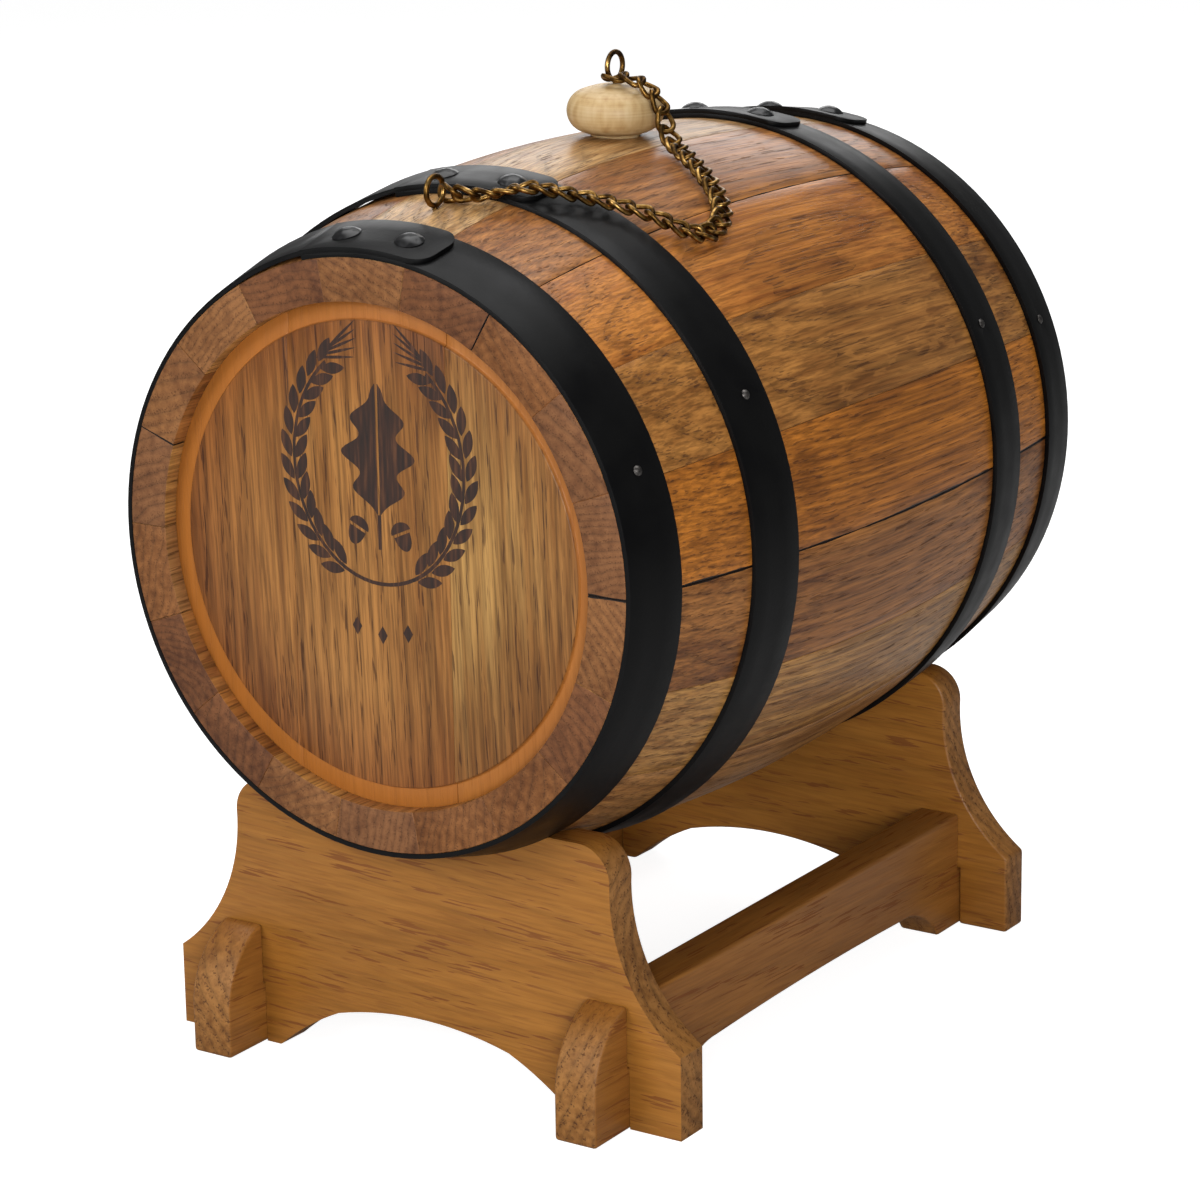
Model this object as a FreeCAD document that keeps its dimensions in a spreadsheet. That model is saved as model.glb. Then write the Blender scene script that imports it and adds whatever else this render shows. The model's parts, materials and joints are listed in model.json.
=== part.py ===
import FreeCAD, Part

import math
import os

import Sketcher
from FreeCAD import Placement, Rotation, Vector

# Small oak cask on its cradle, in millimetres. +Z is up and z = 0 is the table. The cask lies along Y,
# its decorated head faces -Y, and the origin is under the middle of the cradle.
# An angle round the cask is counted in degrees from the top, towards +X.

os.makedirs("parts", exist_ok=True)
doc = FreeCAD.newDocument("oak_cask")

DIMENSIONS = {
    # Cask body
    "cask_length": 250.0,
    "axis_height": 164.4,
    "bilge_radius": 103.2,
    "front_end_drop": 16.7,
    "rear_end_drop": 10.2,
    "stave_count": 18,
    "stave_thickness": 12.5,
    "chime_thickness": 12.4,
    "stave_joint_gap": 0.1,
    "croze_depth": 3.4,
    "croze_land": 4.0,
    "howel_length": 16.0,
    # Heads
    "head_recess": 4.3,
    "head_thickness": 10.0,
    "field_step": 1.1,
    "field_margin": 6.1,
    "tongue_thickness": 5.0,
    "tongue_gap": 0.1,
    "back_bevel": 6.0,
    "left_board_edge": 30.0,
    "right_board_edge": 25.0,
    "board_joint_gap": 0.1,
    "dowel_radius": 2.0,
    "dowel_length": 22.0,
    "dowel_spread": 34.0,
    "dowel_gap": 0.05,
    # Hoops, their rivets and nails
    "hoop_width": 19.0,
    "hoop_thickness": 1.4,
    "hoop_seat_gap": 0.12,
    "quarter_front_inset": 58.3,
    "quarter_rear_inset": 54.4,
    "lap_half_angle": 13.5,
    "lap_gap": 0.05,
    "lap_ramp_angle": 28.0,
    "lap_corner_radius": 6.0,
    "rivet_radius": 4.3,
    "rivet_dome": 1.8,
    "rivet_shank_radius": 1.6,
    "rivet_half_angle": 6.8,
    "nail_head_radius": 1.5,
    "nail_head_dome": 0.8,
    "nail_shank_radius": 0.7,
    "nail_depth": 8.0,
    "nail_offset": 1.5,
    "fastener_gap": 0.05,
    # Bung and its hole
    "bung_offset": 6.0,
    "bung_hole_radius": 7.4,
    "bung_taper": 0.9,
    "bung_plug_length": 20.0,
    "bung_gap": 0.2,
    "bung_seat_gap": 0.3,
    "collar_radius": 8.0,
    "knob_radius": 14.85,
    "knob_height": 16.2,
    "knob_side_radius": 6.6,
    "knob_middle": 7.6,
    # Screw eyes and chain
    "eye_radius": 4.2,
    "eye_wire_radius": 0.8,
    "eye_shank_length": 9.0,
    "eye_stand": 0.2,
    "cask_eye_inset": 36.5,
    "link_length": 9.0,
    "link_width": 6.2,
    "link_wire_radius": 0.7,
    "link_play": 0.45,
    # Tap
    "tap_drop": 56.0,
    "tenon_radius": 7.0,
    "tenon_length": 16.0,
    "tap_fit_gap": 0.05,
    "washer_thickness": 2.0,
    "tap_flange_radius": 11.0,
    "tap_flange_length": 5.0,
    "tap_barrel_radius": 8.0,
    "tap_boss_radius": 10.5,
    "tap_boss_place": 27.0,
    "tap_boss_length": 18.0,
    "spout_place": 48.0,
    "spout_radius": 6.5,
    "spout_length": 20.0,
    "tap_bore_radius": 2.5,
    "spout_bore_radius": 3.2,
    "key_top_radius": 5.6,
    "key_foot_radius": 4.8,
    "key_gap": 0.06,
    "key_stem_length": 12.0,
    "key_bar_length": 36.0,
    "key_bar_radius": 5.0,
    # Cradle
    "board_thickness": 11.7,
    "board_hoop_gap": 0.3,
    "seat_gap": 0.3,
    "shoulder_rise": 22.8,
    "shoulder_reach": 57.5,
    "shoulder_drop": 10.5,
    "waist_reach": 67.2,
    "waist_curve": 55.0,
    "foot_reach": 90.6,
    "foot_height": 25.5,
    "foot_inner_reach": 53.5,
    "board_arch_height": 18.8,
    "board_arch_flat": 31.0,
    "board_arch_dip": 4.2,
    "rail_thickness": 14.1,
    "rail_outer_reach": 73.0,
    "rail_nose_length": 17.9,
    "rail_height": 38.0,
    "rail_end_face": 16.0,
    "rail_foot_length": 43.1,
    "rail_arch_height": 13.4,
    "rail_arch_run": 23.5,
    "rail_arch_dip": 1.0,
    "lap_joint_gap": 0.15,
}

sheet = doc.addObject("Spreadsheet::Sheet", "sizes")
for row, (alias, number) in enumerate(DIMENSIONS.items(), start=1):
    sheet.set("A%d" % row, alias)
    sheet.set("B%d" % row, str(number))
    sheet.setAlias("B%d" % row, alias)
doc.recompute()


class Size:
    """A length with its value in millimetres and the formula that ties it to the sheet."""

    def __init__(self, value, formula):
        self.value = value
        self.formula = formula

    def __add__(self, other):
        other = as_size(other)
        return Size(self.value + other.value, "(%s + %s)" % (self.formula, other.formula))

    def __sub__(self, other):
        other = as_size(other)
        return Size(self.value - other.value, "(%s - %s)" % (self.formula, other.formula))

    def __rsub__(self, other):
        return as_size(other) - self

    def __mul__(self, other):
        other = as_size(other)
        return Size(self.value * other.value, "(%s * %s)" % (self.formula, other.formula))

    def __truediv__(self, other):
        other = as_size(other)
        return Size(self.value / other.value, "(%s / %s)" % (self.formula, other.formula))

    def __rtruediv__(self, other):
        return as_size(other) / self

    def __neg__(self):
        return self * -1

    __radd__ = __add__
    __rmul__ = __mul__


def as_size(number):
    return number if isinstance(number, Size) else Size(float(number), "(%s)" % float(number))


def size(alias):
    return Size(float(sheet.get(alias)), "sizes.%s" % alias)


def root(length):
    return Size(math.sqrt(length.value), "sqrt(%s)" % length.formula)


def bind(feature, **properties):
    """Sets each property to a size and ties it to the sheet."""
    for name, length in properties.items():
        setattr(feature, name, length.value)
        feature.setExpression(name, length.formula)


def place(feature, x=0, y=0, z=0, turn=None):
    """Puts a feature at x, y, z with each tied to the sheet; turn is a Rotation."""
    spot = [as_size(x), as_size(y), as_size(z)]
    feature.Placement = Placement(Vector(*[length.value for length in spot]), turn or Rotation())
    for name, length in zip("xyz", spot):
        if "sizes." in length.formula:
            feature.setExpression("Placement.Base.%s" % name, length.formula)


LEFT_TO_RIGHT = Vector(1, 0, 0)
FRONT_TO_REAR = Vector(0, 1, 0)
UPWARDS = Vector(0, 0, 1)
ALONG_Y = Rotation(LEFT_TO_RIGHT, -90)
ALONG_X = Rotation(FRONT_TO_REAR, 90)


def round_cask(angle):
    return Rotation(FRONT_TO_REAR, angle)


# Sketched bodies


def new_body(label):
    body = doc.addObject("PartDesign::Body", label)
    body.Label = label
    return body


def outline(body, name, plane, corners):
    """Closed outline of sizes (across, up) or (across, up, bend).

    bend is the radius of the side that leaves the corner, with its centre on the left of its way,
    or on the right where the radius is negative.
    """
    sketch = body.newObject("Sketcher::SketchObject", name)
    origin_plane = [item for item in body.Origin.OriginFeatures if item.Role == plane][0]
    sketch.AttachmentSupport = [(origin_plane, "")]
    sketch.MapMode = "FlatFace"
    points = [(as_size(corner[0]), as_size(corner[1])) for corner in corners]
    ends = []
    for side, corner in enumerate(corners):
        across, up = points[side]
        next_across, next_up = points[(side + 1) % len(points)]
        start = Vector(across.value, up.value, 0)
        finish = Vector(next_across.value, next_up.value, 0)
        if len(corner) == 2:
            sketch.addGeometry(Part.LineSegment(start, finish))
            ends.append((1, 2))
            continue
        bend = corner[2].value
        chord = finish - start
        left = Vector(-chord.y, chord.x, 0).normalize()
        reach = math.sqrt(bend * bend - chord.Length * chord.Length / 4)
        centre = (start + finish) * 0.5 + left * math.copysign(reach, bend)
        first, last = (start, finish) if bend > 0 else (finish, start)
        angles = [math.atan2(point.y - centre.y, point.x - centre.x) for point in (first, last)]
        circle = Part.Circle(centre, UPWARDS, abs(bend))
        sketch.addGeometry(Part.ArcOfCircle(circle, angles[0], angles[1]))
        ends.append((1, 2) if bend > 0 else (2, 1))
    for side, (across, up) in enumerate(points):
        after = (side + 1) % len(points)
        sketch.addConstraint(Sketcher.Constraint("Coincident", side, ends[side][1], after, ends[after][0]))
        for kind, length in (("DistanceX", across), ("DistanceY", up)):
            spot = Sketcher.Constraint(kind, -1, 1, side, ends[side][0], length.value)
            index = sketch.addConstraint(spot)
            if "sizes." in length.formula:
                sketch.setExpression("Constraints[%d]" % index, length.formula)
        if len(corners[side]) == 3:
            bend = corners[side][2]
            index = sketch.addConstraint(Sketcher.Constraint("Radius", side, abs(bend.value)))
            formula = bend.formula if bend.value > 0 else (-bend).formula
            sketch.setExpression("Constraints[%d]" % index, formula)
    return sketch


def turned(body, name, plane, axis, corners, angle=None):
    """Solid turned from an outline, all the way round or by an angle on both sides of its plane."""
    turning = body.newObject("PartDesign::Revolution", name)
    turning.Profile = outline(body, name + "_outline", plane, corners)
    turning.ReferenceAxis = (turning.Profile[0], [axis])
    if angle is None:
        turning.Angle = 360
    else:
        turning.Midplane = True
        bind(turning, Angle=angle)
    body.Tip = turning
    return turning


def plank(body, name, plane, thickness, corners):
    """Board of an even thickness, half of it on each side of the outline's plane."""
    board = body.newObject("PartDesign::Pad", name)
    board.Profile = outline(body, name + "_outline", plane, corners)
    board.Midplane = True
    bind(board, Length=thickness)
    body.Tip = board
    return board


def bored(body, name, radius, depth, turn, x=0, y=0, z=0):
    """Round hole that starts at x, y, z and runs along the turned Z axis."""
    hole = body.newObject("PartDesign::SubtractiveCylinder", name)
    bind(hole, Radius=radius, Height=depth)
    place(hole, x, y, z, turn)
    body.Tip = hole


def notched(body, name, low, high):
    """Square notch between two corners."""
    notch = body.newObject("PartDesign::SubtractiveBox", name)
    low = [as_size(number) for number in low]
    high = [as_size(number) for number in high]
    bind(notch, Length=high[0] - low[0], Width=high[1] - low[1], Height=high[2] - low[2])
    place(notch, *low)
    body.Tip = notch


# Shape of the cask: each half of the belly is one arc, level at the bilge

HALF_LENGTH = size("cask_length") / 2
BILGE = size("bilge_radius")
ENDS = {"front": (-1, BILGE - size("front_end_drop")), "rear": (1, BILGE - size("rear_end_drop"))}
EYE_PLACE = HALF_LENGTH - size("cask_eye_inset")
CHIMES = {end: radius - size("chime_thickness") for end, (way, radius) in ENDS.items()}


def belly_bend(end):
    drop = BILGE - ENDS[end][1]
    return (HALF_LENGTH * HALF_LENGTH + drop * drop) / (2 * drop)


def wood_radius(end, place_along, depth=0):
    """Radius of the staves' face, depth below the wood, at a distance from the bilge."""
    bend = belly_bend(end) - depth
    return BILGE - belly_bend(end) + root(bend * bend - as_size(place_along) * place_along)


# Staves: bent oak, held by the hoops, with a groove near each end for the head

STAVE_ANGLE = 360 / size("stave_count")
JOINT_ANGLE = size("stave_joint_gap") / BILGE * math.degrees(1)
RING_FACE = HALF_LENGTH - size("head_recess") - size("field_step")
GROOVE_BACK = RING_FACE - size("tongue_thickness") - size("tongue_gap")
LAND_END = GROOVE_BACK - size("croze_land")
HOWEL_END = LAND_END - size("howel_length")


def stave_outline():
    inside = {}
    for end, (way, radius) in ENDS.items():
        chime = CHIMES[end]
        groove = chime + size("croze_depth")
        inner_bend = belly_bend(end) - size("stave_thickness")
        steps = [
            (way * HALF_LENGTH, chime),
            (way * (RING_FACE + size("tongue_gap")), chime),
            (way * (RING_FACE + size("tongue_gap")), groove),
            (way * GROOVE_BACK, groove),
            (way * GROOVE_BACK, chime),
            (way * LAND_END, chime),
        ]
        howel = (way * HOWEL_END, wood_radius(end, HOWEL_END, size("stave_thickness")))
        inside[end] = (steps, howel, inner_bend)
    rear_steps, rear_howel, rear_bend = inside["rear"]
    front_steps, front_howel, front_bend = inside["front"]
    corners = [
        (-HALF_LENGTH, ENDS["front"][1], -belly_bend("front")),
        (0, BILGE, -belly_bend("rear")),
        (HALF_LENGTH, ENDS["rear"][1]),
    ]
    corners += rear_steps
    corners += [rear_howel + (rear_bend,), (0, BILGE - size("stave_thickness"), front_bend), front_howel]
    corners += reversed(front_steps)
    return corners


NAIL_ANGLES = {"chime_front": 68.0, "quarter_front": 62.5, "quarter_rear": 65.0, "chime_rear": 68.0}
HOOP_MIDDLES = {
    "chime_front": ("front", HALF_LENGTH - size("hoop_width") / 2),
    "quarter_front": ("front", HALF_LENGTH - size("quarter_front_inset")),
    "quarter_rear": ("rear", HALF_LENGTH - size("quarter_rear_inset")),
    "chime_rear": ("rear", HALF_LENGTH - size("hoop_width") / 2),
}


def strip_seat(hoop):
    """Radius of the strip's seat at its middle and its slope along the cask, in degrees."""
    end, middle = HOOP_MIDDLES[hoop]
    half = size("hoop_width") / 2
    high = wood_radius(end, middle - half)
    low = wood_radius(end, middle + half)
    slope = math.degrees(math.atan2((high - low).value, size("hoop_width").value))
    return (high + low) / 2 + size("hoop_seat_gap"), slope


def square_to_strip(hoop, angle):
    way = ENDS[HOOP_MIDDLES[hoop][0]][0]
    return round_cask(angle).multiply(Rotation(LEFT_TO_RIGHT, -way * strip_seat(hoop)[1]))


def make_stave(number):
    angle = STAVE_ANGLE.value * number
    body = new_body("bung_stave" if number == 0 else "stave_%02d" % (number + 1))
    turned(body, body.Label + "_shape", "YZ_Plane", "H_Axis", stave_outline(), STAVE_ANGLE - JOINT_ANGLE)
    if number == 0:
        bore_bung_stave(body)
    for hoop, nail_angle in NAIL_ANGLES.items():
        for side, name in ((1, "right"), (-1, "left")):
            offset = (side * nail_angle - angle + 180) % 360 - 180
            if abs(offset) < STAVE_ANGLE.value / 2:
                bore_nail_hole(body, hoop, offset, "nail_hole_%s_%s" % (hoop, name))
    place(body, 0, 0, size("axis_height"), round_cask(angle))


def bore_nail_hole(body, hoop, angle, name):
    """Pilot hole of a hoop's nail, square to the strip, at an angle from the stave's middle."""
    end, middle = HOOP_MIDDLES[hoop]
    turn = square_to_strip(hoop, angle)
    way = ENDS[end][0]
    depth = size("nail_depth") + size("fastener_gap")
    seat = strip_seat(hoop)[0]
    outwards = round_cask(angle).multVec(UPWARDS)
    along = turn.multVec(FRONT_TO_REAR) * -way
    up = turn.multVec(UPWARDS)
    offset = size("nail_offset")
    bored(body, name, size("nail_shank_radius") + size("fastener_gap"), depth * 2, turn,
          seat * outwards.x + offset * along.x - depth * up.x,
          way * middle + offset * along.y - depth * up.y,
          seat * outwards.z + offset * along.z - depth * up.z)


def bore_bung_stave(body):
    """Tapered hole for the bung, and the pilot hole of the chain's screw eye."""
    hole = body.newObject("PartDesign::SubtractiveCone", "bung_hole")
    margin = 2.0
    slope = size("bung_taper") / size("bung_plug_length")
    height = size("stave_thickness") + 2 * margin
    top = size("bung_hole_radius") + slope * margin
    bind(hole, Radius1=top - slope * height, Radius2=top, Height=height)
    place(hole, 0, size("bung_offset"), BILGE - size("stave_thickness") - margin)
    body.Tip = hole
    foot = wood_radius("front", EYE_PLACE) - size("eye_shank_length") - size("fastener_gap")
    bored(body, "eye_pilot_hole", size("eye_wire_radius") + size("fastener_gap"),
          size("eye_shank_length") * 2, Rotation(), 0, -EYE_PLACE, foot)


for stave in range(int(size("stave_count").value)):
    make_stave(stave)


# Heads: three dowelled boards each, with a raised field inside a sunk ring, held in the croze

TAP_HEIGHT = size("axis_height") - size("tap_drop")
HEAD_BOARDS = {
    "left": (None, -size("left_board_edge")),
    "middle": (-size("left_board_edge"), size("right_board_edge")),
    "right": (size("right_board_edge"), None),
}


def head_outline(end):
    way = ENDS[end][0]
    chime = CHIMES[end]
    field_face = HALF_LENGTH - size("head_recess")
    back_face = field_face - size("head_thickness")
    tongue_back = RING_FACE - size("tongue_thickness")
    rim = chime + size("croze_depth") - 2 * size("tongue_gap")
    field = chime - size("field_margin")
    neck = chime - 1.0
    return [
        (way * field_face, 0),
        (way * field_face, field),
        (way * RING_FACE, field + size("field_step") / 2),
        (way * RING_FACE, rim),
        (way * tongue_back, rim),
        (way * tongue_back, neck),
        (way * back_face, neck - size("back_bevel")),
        (way * back_face, 0),
    ]


def make_head_board(end, side):
    way = ENDS[end][0]
    body = new_body("%s_head_%s_board" % (end, side))
    turned(body, body.Label + "_shape", "YZ_Plane", "H_Axis", head_outline(end))
    reach = BILGE * 1.2
    gap = size("board_joint_gap") / 2
    edges = HEAD_BOARDS[side]
    middle_plane = way * (RING_FACE - size("tongue_thickness") / 2)
    for edge, beyond in zip(edges, (-1, 1)):
        if edge is None:
            continue
        near = edge - beyond * gap
        low, high = sorted((near, beyond * reach), key=lambda length: length.value)
        name = "left_of" if beyond < 0 else "right_of"
        notched(body, "%s_%s" % (body.Label, name), (low, -reach * 2, -reach), (high, reach * 2, reach))
        for spread, row in ((1, "upper"), (-1, "lower")):
            bored(body, "%s_dowel_hole_%s_%s" % (body.Label, name, row),
                  size("dowel_radius") + size("dowel_gap"), size("dowel_length") + 4 * size("dowel_gap"),
                  ALONG_X, edge - size("dowel_length") / 2 - 2 * size("dowel_gap"), middle_plane,
                  spread * size("dowel_spread"))
    if end == "rear" and side == "middle":
        bored(body, "tap_hole", size("tenon_radius") + size("tap_fit_gap"), size("cask_length"),
              ALONG_Y, 0, 0, -size("tap_drop"))
    place(body, 0, 0, size("axis_height"))


def group(label, shapes):
    """Several separate solids of one kind under one label."""
    feature = doc.addObject("Part::Feature", label)
    feature.Label = label
    feature.Shape = Part.makeCompound(shapes) if len(shapes) > 1 else shapes[0]
    return feature


def make_dowels(end):
    dowels = []
    y = ENDS[end][0] * (RING_FACE - size("tongue_thickness") / 2).value
    length = size("dowel_length").value
    for edge in (-size("left_board_edge").value, size("right_board_edge").value):
        for spread in (1, -1):
            z = size("axis_height").value + spread * size("dowel_spread").value
            start = Vector(edge - length / 2, y, z)
            dowels.append(Part.makeCylinder(size("dowel_radius").value, length, start, LEFT_TO_RIGHT))
    group("%s_head_dowels" % end, dowels)


for head in ENDS:
    for board_side in HEAD_BOARDS:
        make_head_board(head, board_side)
    make_dowels(head)


# Hoops: steel strip bent to a cone, its outer end lapped over its inner end and riveted


AXIS = Vector(0, 0, size("axis_height").value)


def round_axis(radius, along, angle):
    """Point at a radius from the cask's axis."""
    return AXIS + round_cask(angle).multVec(Vector(0, 0, radius)) + Vector(0, along, 0)


def strip_section(hoop, raised, angle):
    """Cross-section of a hoop's strip, raised off its seat, as a face at an angle."""
    end, middle = HOOP_MIDDLES[hoop]
    way = ENDS[end][0]
    half = size("hoop_width").value / 2
    thick = size("hoop_thickness").value
    corners = []
    for along in (middle.value - half, middle.value + half):
        seat = wood_radius(end, along).value + size("hoop_seat_gap").value + raised
        corners.append((way * along, seat))
    flat = [corners[0], corners[1], (corners[1][0], corners[1][1] + thick),
            (corners[0][0], corners[0][1] + thick)]
    points = [round_axis(radius, along, angle) for along, radius in flat]
    return Part.Face(Part.makePolygon(points + points[:1]))


def make_hoop(hoop, label):
    lap = size("lap_half_angle").value
    ramp = size("lap_ramp_angle").value
    rise = size("hoop_thickness").value + size("lap_gap").value
    end, middle = HOOP_MIDDLES[hoop]
    under = strip_section(hoop, 0, -lap).revolve(AXIS, FRONT_TO_REAR, 360 - ramp)
    # The strip climbs onto its own end along an arc that leaves the seat level
    shift = rise / (1 - math.cos(math.radians(ramp)))
    seat = wood_radius(end, middle).value
    ramp_axis = AXIS - round_cask(-lap - ramp).multVec(Vector(0, 0, shift))
    top = round_axis(seat + rise, 0, -lap) - ramp_axis
    first = round_axis(seat, 0, -lap - ramp) - ramp_axis
    sweep = math.degrees(first.getAngle(top))
    climb = strip_section(hoop, 0, -lap - ramp).revolve(ramp_axis, FRONT_TO_REAR, sweep)
    over = strip_section(hoop, rise, -lap).revolve(AXIS, FRONT_TO_REAR, 2 * lap)
    over = over.common(lap_tongue(hoop, lap))
    strap = under.fuse([climb, over])
    holes = []
    for side in (1, -1):
        holes.append(pin_hole(hoop, side * size("rivet_half_angle").value, size("rivet_shank_radius")))
        holes.append(pin_hole(hoop, side * NAIL_ANGLES[hoop], size("nail_shank_radius"),
                              size("nail_offset").value))
    group(label, [strap.cut(holes).Solids[0]])


def lap_tongue(hoop, lap):
    """Plate with two rounded corners that trims the outer end of the lap."""
    end, middle = HOOP_MIDDLES[hoop]
    width = size("hoop_width").value
    reach = BILGE.value
    near = ENDS[end][0] * middle.value - width / 2
    plate = Part.makeBox(reach, width, reach * 1.2, Vector(-reach, near, 0))
    sides = [edge for edge in plate.Edges if edge.CenterOfMass.x > -1e-6 and edge.Length > width + 1]
    plate = plate.makeFillet(size("lap_corner_radius").value, sides)
    plate.Placement = Placement(AXIS, round_cask(lap))
    return plate


def on_strip(hoop, angle, raised, offset=0):
    """Placement square to a hoop's strip, raised from its seat and offset towards the bilge."""
    end, middle = HOOP_MIDDLES[hoop]
    way = ENDS[end][0]
    turn = square_to_strip(hoop, angle)
    seat = round_axis(strip_seat(hoop)[0].value, way * middle.value, angle)
    return Placement(seat + turn.multVec(Vector(0, -way * offset, raised)), turn)


def pin_hole(hoop, angle, radius, offset=0):
    depth = 6 * size("hoop_thickness").value
    hole = Part.makeCylinder((radius + size("fastener_gap")).value, 2 * depth)
    hole.Placement = on_strip(hoop, angle, -depth, offset)
    return hole


def domed_pin(head_radius, dome, shank_radius, shank_length):
    """Fastener with a domed head on z = 0 and its shank below."""
    ball = (head_radius * head_radius + dome * dome) / (2 * dome)
    crest = Vector(0, 0, dome)
    middle = Vector(ball * math.sin(math.asin(head_radius / ball) / 2), 0, 0)
    middle.z = dome - ball + math.sqrt(ball * ball - middle.x * middle.x)
    rim = Vector(head_radius, 0, 0)
    neck = Vector(shank_radius, 0, 0)
    tip = Vector(shank_radius, 0, -shank_length)
    foot = Vector(0, 0, -shank_length)
    edges = [
        Part.Arc(crest, middle, rim).toShape(),
        Part.LineSegment(rim, neck).toShape(),
        Part.LineSegment(neck, tip).toShape(),
        Part.LineSegment(tip, foot).toShape(),
        Part.LineSegment(foot, crest).toShape(),
    ]
    return Part.Face(Part.Wire(edges)).revolve(Vector(), UPWARDS, 360)


def make_hoop_fasteners():
    thick = size("hoop_thickness").value
    play = size("fastener_gap").value
    straps = 2 * thick + size("lap_gap").value
    rivet = domed_pin(size("rivet_radius").value, size("rivet_dome").value,
                      size("rivet_shank_radius").value, straps)
    nail = domed_pin(size("nail_head_radius").value, size("nail_head_dome").value,
                     size("nail_shank_radius").value, size("nail_depth").value)
    rivets = []
    nails = []
    for hoop, nail_angle in NAIL_ANGLES.items():
        for side in (-1, 1):
            rivet.Placement = on_strip(hoop, side * size("rivet_half_angle").value, straps + play)
            nail.Placement = on_strip(hoop, side * nail_angle, thick + play, size("nail_offset").value)
            rivets.append(rivet.copy())
            nails.append(nail.copy())
    group("hoop_rivets", rivets)
    group("hoop_nails", nails)


for hoop_name, hoop_label in (("chime_front", "front_chime_hoop"), ("quarter_front", "front_quarter_hoop"),
                              ("quarter_rear", "rear_quarter_hoop"), ("chime_rear", "rear_chime_hoop")):
    make_hoop(hoop_name, hoop_label)
make_hoop_fasteners()


# Bung: turned beech plug with a squashed ball for a knob

BUNG_TOP = size("knob_middle") + size("knob_height") / 2


def make_bung():
    side = size("knob_side_radius")
    half = size("knob_height") / 2
    inset = size("knob_radius") - side
    crown = (inset * inset + half * half - side * side) / (2 * (half - side))
    middle = size("knob_middle")
    # The crown's arc and the side's arc meet where their centres line up
    reach = crown / (crown - side)
    join_across = inset * reach
    join_up = (crown - half) * reach - (crown - half)
    collar = size("collar_radius")
    underside = middle - half + crown - root(crown * crown - collar * collar)
    plug = size("bung_hole_radius") - size("bung_gap")
    length = size("bung_plug_length")
    body = new_body("bung")
    turned(body, "bung_shape", "XZ_Plane", "V_Axis", [
        (0, -length),
        (plug - size("bung_taper"), -length),
        (plug, size("bung_seat_gap")),
        (collar, size("bung_seat_gap")),
        (collar, underside, crown),
        (join_across, middle - join_up, side),
        (join_across, middle + join_up, crown),
        (0, middle + half),
    ])
    bored(body, "bung_eye_hole", size("eye_wire_radius") + size("fastener_gap"),
          size("eye_shank_length") * 2, Rotation(), 0, 0,
          BUNG_TOP - size("eye_shank_length") - size("fastener_gap"))
    place(body, 0, size("bung_offset"), size("axis_height") + BILGE)


def make_eye(label, y, z):
    """Screw eye of brass wire, its ring standing on the wood along Y and its shank in the wood."""
    body = new_body(label)
    ring = body.newObject("PartDesign::AdditiveTorus", label + "_ring")
    bind(ring, Radius1=size("eye_radius"), Radius2=size("eye_wire_radius"))
    place(ring, 0, 0, size("eye_radius") + size("eye_wire_radius") + size("eye_stand"), ALONG_X)
    shank = body.newObject("PartDesign::AdditiveCylinder", label + "_shank")
    bind(shank, Radius=size("eye_wire_radius"),
         Height=size("eye_shank_length") + size("eye_wire_radius") + size("eye_stand"))
    place(shank, 0, 0, -size("eye_shank_length"))
    body.Tip = shank
    place(body, 0, y, z)


make_bung()
make_eye("bung_eye", size("bung_offset"), size("axis_height") + BILGE + BUNG_TOP)
make_eye("cask_eye", -EYE_PLACE, size("axis_height") + wood_radius("front", EYE_PLACE))

# Tap: turned spigot pushed into the rear head, with a tapered key that turns across its bore

HEAD_FACE = HALF_LENGTH - size("head_recess")


def make_tap():
    face = HEAD_FACE + size("washer_thickness")
    flange = face + size("tap_flange_length")
    boss = face + size("tap_boss_place")
    half_boss = size("tap_boss_length") / 2
    spout = face + size("spout_place")
    barrel = size("tap_barrel_radius")
    chamfer = 2.0
    body = new_body("tap_body")
    turned(body, "tap_shape", "YZ_Plane", "H_Axis", [
        (HEAD_FACE - size("tenon_length"), 0),
        (HEAD_FACE - size("tenon_length"), size("tenon_radius")),
        (face, size("tenon_radius")),
        (face, size("tap_flange_radius")),
        (flange - chamfer, size("tap_flange_radius")),
        (flange, barrel),
        (boss - half_boss, barrel),
        (boss - half_boss + chamfer, size("tap_boss_radius")),
        (boss + half_boss - chamfer, size("tap_boss_radius")),
        (boss + half_boss, barrel),
        (spout + barrel - chamfer, barrel),
        (spout + barrel, barrel - chamfer),
        (spout + barrel, 0),
    ])
    mouth = body.newObject("PartDesign::AdditiveCylinder", "tap_spout")
    bind(mouth, Radius=size("spout_radius"), Height=size("spout_length"))
    place(mouth, 0, spout, -size("spout_length"))
    body.Tip = mouth
    bore = size("tap_bore_radius")
    bored(body, "tap_channel", bore, spout - HEAD_FACE + size("tenon_length"), ALONG_Y,
          0, HEAD_FACE - size("tenon_length"), 0)
    bored(body, "spout_channel", size("spout_bore_radius"), size("spout_length") + bore / 2, Rotation(),
          0, spout, -size("spout_length"))
    seat = body.newObject("PartDesign::SubtractiveCone", "key_seat")
    height = 2 * size("tap_boss_radius")
    bind(seat, Radius1=size("key_foot_radius") + size("key_gap"),
         Radius2=size("key_top_radius") + size("key_gap"), Height=height)
    place(seat, 0, boss, -size("tap_boss_radius"))
    body.Tip = seat
    place(body, 0, 0, TAP_HEIGHT)
    return boss


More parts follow.
